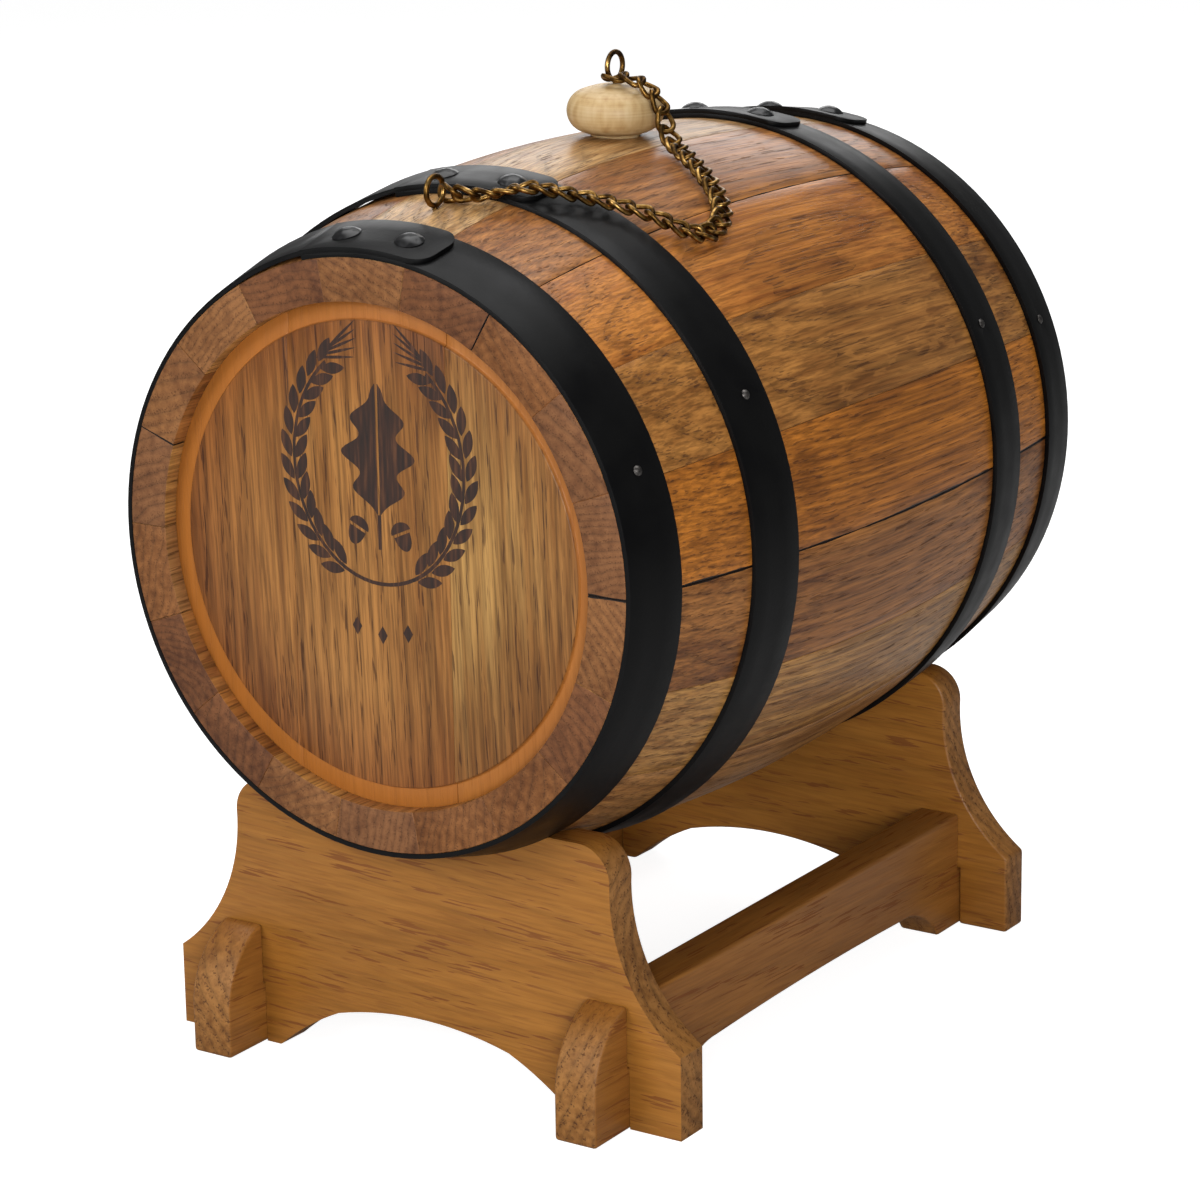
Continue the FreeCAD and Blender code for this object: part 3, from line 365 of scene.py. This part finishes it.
# Tones run from the bung stave round towards the right: pale tone, deep tone, pith across and in
STAVE_TONES = [
    ("bung_stave", "#CCA16B", "#9D6E3A", 40, 160), ("stave_02", "#C08043", "#905827", -55, 120),
    ("stave_03", "#CC833A", "#995925", 70, 90), ("stave_04", "#BF8240", "#875526", 30, 70),
    ("stave_05", "#CC7E2E", "#935720", -80, 110), ("stave_06", "#B1743A", "#764620", 60, 60),
    ("stave_07", "#BF8B4C", "#8D5C2B", -30, 80), ("stave_08", "#B27D45", "#83532A", 90, 130),
    ("stave_09", "#BA8246", "#8E5B31", 25, 95), ("stave_10", "#B27741", "#84542C", -60, 75),
    ("stave_11", "#C38B49", "#946231", 50, 140), ("stave_12", "#B3753A", "#824F26", -45, 85),
    ("stave_13", "#BC8245", "#8D5930", 75, 100), ("stave_14", "#B17F4D", "#7D542E", -90, 120),
    ("stave_15", "#C08A4C", "#905E33", 35, 65), ("stave_16", "#AE723C", "#784925", 65, 110),
    ("stave_17", "#C89152", "#976737", -70, 90), ("stave_18", "#B87F46", "#895730", 20, 150),
]
# Joints that have dried open, by the staves on both sides: the joint's angle from the top, and how far
# its dark line reaches into each stave, in millimetres
OPEN_JOINTS = {
    "stave_02": (30, 0.3), "stave_03": (30, 0.3), "stave_05": (90, 0.6), "stave_06": (90, 0.6),
    "stave_15": (290, 0.4), "stave_16": (290, 0.4),
}
END_TONES = [("#936237", "#6B4120"), ("#845734", "#5D371D"), ("#8E5B30", "#663B18"), ("#7D4E2C", "#563119")]
for number, (node, pale, deep, across, inwards) in enumerate(STAVE_TONES):
    # The four end tones, rings of 2.2 to 3.7 mm and the grain's slant vary from stave to stave
    end_pale, end_deep = END_TONES[(number * 3 + number // 4) % 4]
    slant = (1.2 + 0.9 * math.sin(number * 2.3), 1.6 * math.cos(number * 1.7))
    finish = oak("varnished_oak_" + node, "y", pale, deep, (across, inwards), lean=slant,
                 ring_mm=2.2 + 0.5 * (number % 4), pore_mm=0.3, pore_share=0.6,
                 end_pale=end_pale, end_deep=end_deep,
                 flecks=0.35 if number % 3 == 0 else 0.15, figure=1.1)
    if node in OPEN_JOINTS:
        open_joint(finish, *OPEN_JOINTS[node])
    softened(node, finish, "cask", edge_mm=STAVE_EDGE_MM)

# Heads: three oak boards each with the grain upright, turned as one disc with a raised field
# in a sunk ring. The front one is the show face, and its right board is the palest.

HEAD_EDGE_MM = 0.25
FRONT_FIELD_RADIUS = 0.0680
REAR_FIELD_RADIUS = 0.0745
# Painted shade on the head's field: where it starts, and how dark it is at the ring
PAINTED_SHADE_FROM_RADIUS = 0.04
PAINTED_SHADE_DEPTH = 0.6
RING_EDGE = 0.0004
RING_COVER = 0.72
HEAD_TONES = {
    "front_head_left_board": ("#AD763C", "#815227", 30, 90),
    "front_head_middle_board": ("#B17A3F", "#865628", -40, 70),
    "front_head_right_board": ("#BC8F51", "#936734", 60, 110),
    "rear_head_left_board": ("#AF7C43", "#84562C", -60, 80),
    "rear_head_middle_board": ("#A8743C", "#7D5027", 45, 95),
    "rear_head_right_board": ("#B3844B", "#895B30", -30, 120),
}


def turned_ring(material, field_radius):
    """Tone of the sunk ring round the field: freshly turned, it took the varnish brighter. Also painted shade
    on the field near the ring.
    """
    tree = material.node_tree
    base = tree.nodes["Principled BSDF"].inputs["Base Color"]
    place = add(tree, "ShaderNodeTexCoord")
    from_axis = add(tree, "ShaderNodeVectorMath", {0: place.outputs["Object"], 1: (0, 0, -AXIS_HEIGHT)},
                    operation="ADD")
    flat = add(tree, "ShaderNodeVectorMath", {0: from_axis.outputs[0], 1: (1, 0, 1)}, operation="MULTIPLY")
    radius = add(tree, "ShaderNodeVectorMath", {0: flat.outputs[0]}, operation="LENGTH")
    # Painted shade: the field is darkened towards the sunk ring, standing in for the shade of the recess wall
    painted_rim_shade = add(tree, "ShaderNodeMapRange",
                  {0: radius.outputs["Value"], 1: PAINTED_SHADE_FROM_RADIUS, 2: field_radius,
                   3: 0, 4: PAINTED_SHADE_DEPTH})
    field = add(tree, "ShaderNodeMix",
                {0: painted_rim_shade.outputs[0], 6: base.links[0].from_socket, 7: srgb("#C79A78")},
                data_type="RGBA", blend_type="MULTIPLY")
    ring = add(tree, "ShaderNodeMapRange",
               {0: radius.outputs["Value"], 1: field_radius, 2: field_radius + RING_EDGE})
    ring_share = add(tree, "ShaderNodeMath", {0: ring.outputs[0], 1: RING_COVER}, operation="MULTIPLY")
    colour = add(tree, "ShaderNodeMix", {0: ring_share.outputs[0], 6: field.outputs[2], 7: srgb("#B5702F")},
                 data_type="RGBA")
    tree.links.new(colour.outputs[2], base)


for node, (pale, deep, across, inwards) in HEAD_TONES.items():
    finish = oak("varnished_oak_" + node, "z", pale, deep, (across, inwards), lean=(1.0, 2.2), ring_mm=3.4,
                 pore_mm=0.28, pore_share=0.75)
    turned_ring(finish, FRONT_FIELD_RADIUS if node.startswith("front") else REAR_FIELD_RADIUS)
    softened(node, finish, "cask", edge_mm=HEAD_EDGE_MM)

# Burnt-in ornament on the front head: two ears of barley round an oak leaf with two acorns, and
# three small lozenges below. A hot stamp leaves it dark brown, and only just proud of the face.
# Its shapes are in millimetres from the middle of the stamp, before STAMP_SCALE.

FIELD_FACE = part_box("front_head_middle_board")[0].y
ORNAMENT_MIDDLE = (0.001, 0.189)
STAMP_DEPTH = 0.00005
STAMP_STEP = 0.0000004
STAMP_SCALE = 1.12
LEAF_LENGTH, LEAF_WIDTH, LEAF_UP, LEAF_LOBES = 34, 23, 6, 3.5
MIDRIB_HALF_WIDTH = 0.35
LEAF_STALK = [(0.6, 4), (0.5, -5), (-0.5, -5), (-0.6, 4)]
LEAF_STALK_UP = -15
CUP_HALF_WIDTH, CUP_HEIGHT, CUP_ACROSS, CUP_UP = 3.2, 2.6, 6.6, -14.6
NUT_HALF_WIDTH, NUT_HEIGHT, NUT_ACROSS, NUT_UP = 2.6, 4.4, 6.9, -15.3
ACORN_LEAN, CUP_POINTS, NUT_POINTS = 24, 12, 14
EAR_UP = 2
STALK_INSIDE, STALK_OUTSIDE = (26.0, 30.5), (26.9, 31.5)
STALK_FOOT, STALK_TURN, STALK_POINTS = -96, 6, 26
EAR_RADIUS, EAR_TALLER, ROW_OFFSET = 26.5, 1.17, 2.3
GRAINS, GRAIN_FOOT, GRAIN_STEP = 12, -58, 10.4
GRAIN_LENGTH, GRAIN_WIDTH, GRAIN_SPLAY = 7.6, 3.0, 26
BEARDS, BEARD_LENGTH, BEARD_WIDTH = 5, 13, 0.8
# The first beard's place and lean, and what each further one adds
BEARD_ACROSS, BEARD_UP, BEARD_LEAN = (12.6, -0.5), (28.5, 1.5), (84, -9)
LOZENGE = [(0, 2.4), (1.5, 0), (0, -2.4), (-1.5, 0)]
LOZENGE_PLACES = [(-8, -41), (0, -42.5), (8, -41)]
ornament = []


def stamped(outline, across_mm, up_mm, turn=0.0):
    """Adds a thin flat shape on the head's face, from an outline round its own middle."""
    bpy.ops.object.select_all(action="DESELECT")
    bpy.ops.mesh.primitive_circle_add(vertices=len(outline), radius=0.001, fill_type="NGON")
    shape = bpy.context.object
    cosine, sine = math.cos(math.radians(turn)), math.sin(math.radians(turn))
    for vertex, (across, up) in zip(shape.data.vertices, outline):
        x = (across * cosine - up * sine + across_mm) * STAMP_SCALE / 1000 + ORNAMENT_MIDDLE[0]
        z = (across * sine + up * cosine + up_mm) * STAMP_SCALE / 1000 + ORNAMENT_MIDDLE[1]
        # Each shape stands a hair proud of the one before, so that no two faces coincide
        vertex.co = (x, FIELD_FACE - STAMP_STEP * len(ornament), z)
    bpy.ops.object.mode_set(mode="EDIT")
    bpy.ops.mesh.select_all(action="SELECT")
    bpy.ops.mesh.quads_convert_to_tris(quad_method="BEAUTY", ngon_method="BEAUTY")
    bpy.ops.mesh.normals_make_consistent(inside=False)
    bpy.ops.object.mode_set(mode="OBJECT")
    thick = shape.modifiers.new("stamp_depth", "SOLIDIFY")
    thick.thickness = STAMP_DEPTH
    thick.offset = 0
    bpy.ops.object.modifier_apply(modifier=thick.name)
    ornament.append(shape)


def mirrored(outline):
    """The same outline on the other side of the upright middle line."""
    return [(-across, up) for across, up in reversed(outline)]


def barley_grain(length, width, points=14):
    """Pointed oval that stands upright: a grain, or a beard where it is long and thin."""
    right = [(width / 2 * math.sin(math.pi * step / points) ** 0.8, length * (0.5 - step / points))
             for step in range(points + 1)]
    return right + mirrored(right[1:-1])


def acorn_half(half_width, height, points):
    """Upper half of an oval, or its lower half where the height is below zero."""
    turns = [math.pi * step / points for step in range(points + 1)]
    return [(half_width * math.cos(turn), height * math.sin(turn)) for turn in turns]


def half_leaf(length, width, lobes, points=44):
    """Right half of a lobed leaf, its tip upwards, a little fuller above its middle."""
    edge = []
    for step in range(points + 1):
        way = step / points
        fullness = math.sin(math.pi * way ** 1.15) ** 0.7
        wave = 1 + 0.3 * math.cos(2 * math.pi * lobes * way + 0.6)
        edge.append((max(0.5, width / 2 * fullness * wave / 1.3), length * (0.5 - way)))
    return edge + [(MIDRIB_HALF_WIDTH, -length / 2), (MIDRIB_HALF_WIDTH, length / 2)]


# The leaf is in two halves, with its bare midrib between them
right_half = half_leaf(LEAF_LENGTH, LEAF_WIDTH, LEAF_LOBES)
stamped(right_half, 0, LEAF_UP)
stamped(mirrored(right_half), 0, LEAF_UP)
stamped(LEAF_STALK, 0, LEAF_STALK_UP)
for side in (-1, 1):
    # Acorn: a cup with its nut below
    stamped(acorn_half(CUP_HALF_WIDTH, CUP_HEIGHT, CUP_POINTS), side * CUP_ACROSS, CUP_UP, side * ACORN_LEAN)
    stamped(acorn_half(NUT_HALF_WIDTH, -NUT_HEIGHT, NUT_POINTS), side * NUT_ACROSS, NUT_UP, side * ACORN_LEAN)
    # Ear of barley: a bent stalk, grains in pairs along it and a beard at the tip
    arc = [math.radians(STALK_FOOT + STALK_TURN * step) for step in range(STALK_POINTS)]
    stalk = []
    for (width, height), turns in ((STALK_INSIDE, arc), (STALK_OUTSIDE, reversed(arc))):
        stalk += [(side * width * math.cos(turn), height * math.sin(turn) + EAR_UP) for turn in turns]
    stamped(stalk, 0, 0)
    for grain in range(GRAINS):
        way = GRAIN_FOOT + GRAIN_STEP * grain
        for row in (-1, 1):
            reach = EAR_RADIUS + row * ROW_OFFSET
            across, up = math.cos(math.radians(way)), math.sin(math.radians(way)) * EAR_TALLER
            stamped(barley_grain(GRAIN_LENGTH, GRAIN_WIDTH), side * reach * across, reach * up + EAR_UP,
                    side * (way - row * GRAIN_SPLAY))
    for beard in range(BEARDS):
        across, up, lean = (first + further * beard
                            for first, further in (BEARD_ACROSS, BEARD_UP, BEARD_LEAN))
        stamped(barley_grain(BEARD_LENGTH, BEARD_WIDTH), side * across, up, side * lean)
for across, up in LOZENGE_PLACES:
    stamped(LOZENGE, across, up)
bpy.ops.object.select_all(action="DESELECT")
for shape in ornament:
    shape.select_set(True)
bpy.context.view_layer.objects.active = ornament[0]
bpy.ops.object.join()
burnt_mark = bpy.context.object
burnt_mark.name = "burnt_ornament"
# Scorched oak: charred wood, nearly black, with browner streaks of about 1 mm where it burnt less
scorch, tree, shader = new_material("scorched_oak")
place = add(tree, "ShaderNodeTexCoord")
scorch_way = add(tree, "ShaderNodeMapping", {"Vector": place.outputs["Object"], "Scale": (1, 1, 0.08)})
char = add(tree, "ShaderNodeTexNoise", {"Vector": scorch_way.outputs[0], "Scale": 900.0, "Detail": 4.0})
char_tone = add(tree, "ShaderNodeValToRGB", {0: char.outputs["Fac"]},
                stops=[(0.34, "#1F0F07"), (0.55, "#351B0D"), (0.72, "#57331A")])
tree.links.new(char_tone.outputs[0], shader.inputs["Base Color"])
shader.inputs["Roughness"].default_value = 0.5
burnt_mark.data.materials.append(scorch)
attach(burnt_mark, "cask")

# Dowels: plain beech pegs, four to a head, glued into the joints of its boards. They are inside the
# heads and seen only when a head is taken apart.

DOWEL_EDGE_MM = 0.3
# Unfinished beech: matt and pale, with short flecks of 0.7 mm along the peg
beech, tree, shader = new_material("plain_beech_peg")
place = add(tree, "ShaderNodeTexCoord")
fleck_way = add(tree, "ShaderNodeMapping", {"Vector": place.outputs["Object"], "Scale": (0.2, 1, 1)})
flecks = add(tree, "ShaderNodeTexNoise", {"Vector": fleck_way.outputs[0], "Scale": 1500.0, "Detail": 2.0})
fleck_tone = add(tree, "ShaderNodeValToRGB", {0: flecks.outputs["Fac"]},
                 stops=[(0.35, "#B98F63"), (0.65, "#D9B98C")])
tree.links.new(fleck_tone.outputs[0], shader.inputs["Base Color"])
shader.inputs["Roughness"].default_value = 0.6
for node in ("front_head_dowels", "rear_head_dowels"):
    softened(node, beech, "cask", edge_mm=DOWEL_EDGE_MM)

# Hoops: mild steel strip, rolled to a cone, lapped and riveted, and driven onto the staves. They are
# under black satin powder coat.

HOOP_EDGE_MM = 0.3
# Powder coat: a soft sheen that breaks up in orange peel of 1 mm, uneven over patches of 14 mm
coat, tree, shader = new_material("black_satin_powder_coat")
place = add(tree, "ShaderNodeTexCoord")
peel = add(tree, "ShaderNodeTexNoise", {"Vector": place.outputs["Object"], "Scale": 900.0, "Detail": 2.0})
scuffs = add(tree, "ShaderNodeTexNoise", {"Vector": place.outputs["Object"], "Scale": 70.0, "Detail": 5.0})
coat_tone = add(tree, "ShaderNodeValToRGB", {0: scuffs.outputs["Fac"]},
                stops=[(0.3, "#060607"), (0.75, "#0C0C0C")])
tree.links.new(coat_tone.outputs[0], shader.inputs["Base Color"])
shader.inputs["Specular IOR Level"].default_value = 0.15
coat_rough = add(tree, "ShaderNodeMapRange", {0: scuffs.outputs["Fac"], 1: 0.3, 2: 0.7, 3: 0.36, 4: 0.48})
tree.links.new(coat_rough.outputs[0], shader.inputs["Roughness"])
coat_bump = add(tree, "ShaderNodeBump",
                {"Height": peel.outputs["Fac"], "Strength": 0.25, "Distance": 0.00008})
tree.links.new(coat_bump.outputs[0], shader.inputs["Normal"])
for node in ("front_chime_hoop", "front_quarter_hoop", "rear_quarter_hoop", "rear_chime_hoop"):
    softened(node, coat, "cask", edge_mm=HOOP_EDGE_MM)

# Rivets: soft steel, two through each hoop's lap, with domed heads set by a few hammer blows and
# coated together with the hoops.

RIVET_EDGE_MM = 0.15
# The same coat over hammered steel: facets of 2.4 mm, each with its own glint
blows, tree, shader = new_material("hammered_black_rivet")
place = add(tree, "ShaderNodeTexCoord")
facets = add(tree, "ShaderNodeTexVoronoi",
             {"Vector": place.outputs["Object"], "Scale": 420.0, "Smoothness": 0.4},
             feature="SMOOTH_F1")
shader.inputs["Base Color"].default_value = srgb("#08080A")
shader.inputs["Roughness"].default_value = 0.34
hammer = add(tree, "ShaderNodeBump",
             {"Height": facets.outputs["Distance"], "Strength": 0.6, "Distance": 0.0004})
tree.links.new(hammer.outputs[0], shader.inputs["Normal"])
softened("hoop_rivets", blows, "cask", edge_mm=RIVET_EDGE_MM)

# Nails: two in each hoop, driven into the staves so that it can't slip. They have small round heads
# of bare steel.

NAIL_EDGE_MM = 0.1
# Steel gone dark: a dull metal, mottled grey in spots of 0.7 mm
dark_steel, tree, shader = new_material("dark_bare_steel_nail")
shader.inputs["Metallic"].default_value = 0.85
place = add(tree, "ShaderNodeTexCoord")
tarnish = add(tree, "ShaderNodeTexNoise", {"Vector": place.outputs["Object"], "Scale": 1400.0, "Detail": 3.0})
tarnish_tone = add(tree, "ShaderNodeValToRGB", {0: tarnish.outputs["Fac"]},
                   stops=[(0.3, "#2A2827"), (0.7, "#6A6663")])
tree.links.new(tarnish_tone.outputs[0], shader.inputs["Base Color"])
shader.inputs["Roughness"].default_value = 0.42
softened("hoop_nails", dark_steel, "cask", edge_mm=NAIL_EDGE_MM)

# Bung: turned beech, unvarnished, with a knob like a squashed ball on a tapered plug that is pushed
# into the bung hole. Its grain stands upright.

BUNG_EDGE_MM = 0.3
BUNG_LEAN = (math.radians(9), math.radians(-6), 0)
# Turned beech: pale and smooth, with streaks of 2.6 mm up the grain and faint lines round it from
# the lathe, 0.6 mm apart
pale_beech, tree, shader = new_material("turned_beech_bung")
place = add(tree, "ShaderNodeTexCoord")
bung_way = add(tree, "ShaderNodeMapping",
               {"Vector": place.outputs["Object"], "Scale": (1, 1, 0.12), "Rotation": BUNG_LEAN})
beech_streaks = add(tree, "ShaderNodeTexNoise",
                    {"Vector": bung_way.outputs[0], "Scale": 380.0, "Detail": 4.0})
lathe_way = add(tree, "ShaderNodeMapping", {"Vector": place.outputs["Object"], "Scale": (0.02, 0.02, 1)})
lathe_lines = add(tree, "ShaderNodeTexNoise",
                  {"Vector": lathe_way.outputs[0], "Scale": 1800.0, "Detail": 1.0})
beech_mix = add(tree, "ShaderNodeMix",
                {0: 0.3, 2: beech_streaks.outputs["Fac"], 3: lathe_lines.outputs["Fac"]})
beech_tone = add(tree, "ShaderNodeValToRGB", {0: beech_mix.outputs[0]},
                 stops=[(0.3, "#AA8654"), (0.5, "#C2A474"), (0.72, "#CFB78C")])
tree.links.new(beech_tone.outputs[0], shader.inputs["Base Color"])
shader.inputs["Roughness"].default_value = 0.48
beech_bump = add(tree, "ShaderNodeBump",
                 {"Height": beech_mix.outputs[0], "Strength": 0.15, "Distance": 0.0001})
tree.links.new(beech_bump.outputs[0], shader.inputs["Normal"])
softened("bung", pale_beech, "bung", edge_mm=BUNG_EDGE_MM)

# Screw eyes: brass wire turned into a ring on a screw and given an antique finish. One is driven into
# the top of the bung and one into the cask, between its two front hoops.

EYE_EDGE_MM = 0.05
# Antique brass: a warm metal, brown in patches of 3 mm where hands don't rub and brighter elsewhere
brass, tree, shader = new_material("antique_brass_wire")
place = add(tree, "ShaderNodeTexCoord")
brown = add(tree, "ShaderNodeTexNoise", {"Vector": place.outputs["Object"], "Scale": 320.0, "Detail": 4.0})
brass_tone = add(tree, "ShaderNodeValToRGB", {0: brown.outputs["Fac"]},
                 stops=[(0.36, "#33220F"), (0.52, "#725327"), (0.68, "#AE8A50")])
tree.links.new(brass_tone.outputs[0], shader.inputs["Base Color"])
shader.inputs["Metallic"].default_value = 1.0
brass_rough = add(tree, "ShaderNodeMapRange", {0: brown.outputs["Fac"], 1: 0.3, 2: 0.7, 3: 0.5, 4: 0.28})
tree.links.new(brass_rough.outputs[0], shader.inputs["Roughness"])
for node, body in (("bung_eye", "bung"), ("cask_eye", "cask")):
    softened(node, brass, body, edge_mm=EYE_EDGE_MM)

# Chain: curb chain of the same wire, hooked to both eyes. Each link is an oval with nearly a quarter
# turn of twist in it, so that the links lie flat on the staves, each with its end through the next.

LINK_LENGTH_MM = 9.1
LINK_WIDTH_MM = 7.1
WIRE_MM = 1.6
LINK_TWIST = 72
# A ring becomes an oval as its halves are moved apart. The part this near to its middle is drawn out.
SIDE_REACH = 0.0008
# Points of a solid link that are this far from its middle belong to its two ends
END_REACH = 0.0035
BUNG_EYE_PLACE = Vector((0.0, 0.006, 0.288))
# The last links turn upright, step by step in degrees, to meet the cask's eye
EASED_LINKS, EASE_STEP = 4, 15

# The solid links give each link its middle and its way along the chain
bpy.ops.object.select_all(action="DESELECT")
solid_links = frame["nodes"]["chain"].copy()
solid_links.data = frame["nodes"]["chain"].data.copy()
bpy.context.collection.objects.link(solid_links)
solid_links.parent = None
solid_links.select_set(True)
bpy.context.view_layer.objects.active = solid_links
bpy.ops.object.mode_set(mode="EDIT")
bpy.ops.mesh.select_all(action="SELECT")
bpy.ops.mesh.remove_doubles(threshold=MERGE_DISTANCE)
bpy.ops.mesh.separate(type="LOOSE")
bpy.ops.object.mode_set(mode="OBJECT")
places = []
for part in bpy.context.selected_objects:
    points = [vertex.co.copy() for vertex in part.data.vertices]
    middle = sum(points, Vector()) / len(points)
    far = max(points, key=lambda point: (point - middle).length)
    ends = [point for point in points if (point - middle).dot((far - middle).normalized()) > END_REACH]
    along = (sum(ends, Vector()) / len(ends) - middle).normalized()
    places.append((middle, along))
for part in list(bpy.context.selected_objects):
    bpy.data.objects.remove(part)
# Put the links in order from the bung's eye to the cask's eye
order = [min(places, key=lambda spot: (spot[0] - BUNG_EYE_PLACE).length)]
places.remove(order[0])
while places:
    nearest = min(places, key=lambda spot: (spot[0] - order[-1][0]).length)
    order.append(nearest)
    places.remove(nearest)

# One link of the real form, then a copy of it at each place
bpy.ops.mesh.primitive_torus_add(major_radius=(LINK_WIDTH_MM - WIRE_MM) / 2000, minor_radius=WIRE_MM / 2000,
                                 major_segments=28, minor_segments=10)
link = bpy.context.object
stretch = (LINK_LENGTH_MM - LINK_WIDTH_MM) / 2000
for vertex in link.data.vertices:
    vertex.co.x += stretch * max(-1.0, min(1.0, vertex.co.x / SIDE_REACH))
twist = link.modifiers.new("quarter_twist", "SIMPLE_DEFORM")
twist.deform_method = "TWIST"
twist.deform_axis = "X"
twist.angle = math.radians(LINK_TWIST)
bpy.ops.object.modifier_apply(modifier=twist.name)
copies = []
for number, (middle, along) in enumerate(order):
    following = order[min(number + 1, len(order) - 1)][0] - order[max(number - 1, 0)][0]
    if along.dot(following) < 0:
        along = -along
    outward = middle - Vector((0, middle.y, AXIS_HEIGHT))
    across = outward.cross(along).normalized()
    up = along.cross(across)
    turn = Matrix((along, across, up)).transposed().to_4x4()
    links_left = len(order) - 1 - number
    ease = math.radians(max(0, EASED_LINKS - links_left) * EASE_STEP)
    copy = link.copy()
    copy.data = link.data.copy()
    bpy.context.collection.objects.link(copy)
    copy.data.transform(Matrix.Translation(middle) @ turn @ Matrix.Rotation(ease, 4, "X"))
    copies.append(copy)
bpy.data.objects.remove(link)
bpy.ops.object.select_all(action="DESELECT")
for copy in copies:
    copy.select_set(True)
bpy.context.view_layer.objects.active = copies[0]
bpy.ops.object.join()
chain = bpy.context.object
chain.name = "curb_chain"
bpy.ops.object.shade_smooth()
chain.data.materials.clear()
chain.data.materials.append(brass)
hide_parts("chain")
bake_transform(chain)

# Tap: turned oak spigot with a tapered key, pushed into the rear head on a leather washer. Its oak is
# waxed and not varnished, which leaves it duller than the cask.

TAP_EDGE_MM = 0.5
KEY_EDGE_MM = 0.4
WASHER_EDGE_MM = 0.2
tap_wood = oak("waxed_oak_tap", "y", "#B98A5A", "#8C6038", (60, 80), ring_mm=2.4, sheen=0.5)
key_wood = oak("waxed_oak_key", "z", "#B08052", "#7F5632", (-50, 60), ring_mm=2.2, sheen=0.5)
softened("tap_body", tap_wood, "cask", edge_mm=TAP_EDGE_MM)
softened("tap_key", key_wood, "tap_key", edge_mm=KEY_EDGE_MM)
# Tanned leather: matt brown, with darker pits 0.8 mm apart
hide, tree, shader = new_material("brown_washer_leather")
place = add(tree, "ShaderNodeTexCoord")
pits = add(tree, "ShaderNodeTexVoronoi", {"Vector": place.outputs["Object"], "Scale": 1300.0})
hide_tone = add(tree, "ShaderNodeValToRGB", {0: pits.outputs["Distance"]},
                stops=[(0.1, "#3A2013"), (0.8, "#6B4126")])
tree.links.new(hide_tone.outputs[0], shader.inputs["Base Color"])
shader.inputs["Roughness"].default_value = 0.7
softened("tap_washer", hide, "cask", edge_mm=WASHER_EDGE_MM)

# Cradle: two boards and two rails of honey oak, sawn to shape, crossed in half-lap joints and varnished.
# The boards' grain runs across and the rails' front to rear, so the feet and noses show end grain.

CRADLE_EDGE_MM = 1.0
CRADLE_TONES = {
    "front_cradle_board": ("x", "#B27834", "#8A571E", 40, 70),
    "rear_cradle_board": ("x", "#AD7430", "#85521C", -60, 90),
    "right_rail": ("y", "#A97032", "#7E4D1D", 50, 60),
    "left_rail": ("y", "#AF7433", "#82511F", -35, 85),
}
for node, (grain, pale, deep, across, inwards) in CRADLE_TONES.items():
    # Calmer than the cask's oak, with reddish pores that stand out on the honey tone
    finish = oak("honey_oak_" + node, grain, pale, deep, (across, inwards), lean=(2.5, -1.8), ring_mm=4.2,
                 pore_mm=0.42, pore_share=0.8, pore_dark="#74401A",
                 end_pale="#A4713A", end_deep="#774B1F", figure=0.4)
    softened(node, finish, "stand", edge_mm=CRADLE_EDGE_MM, segments=3)
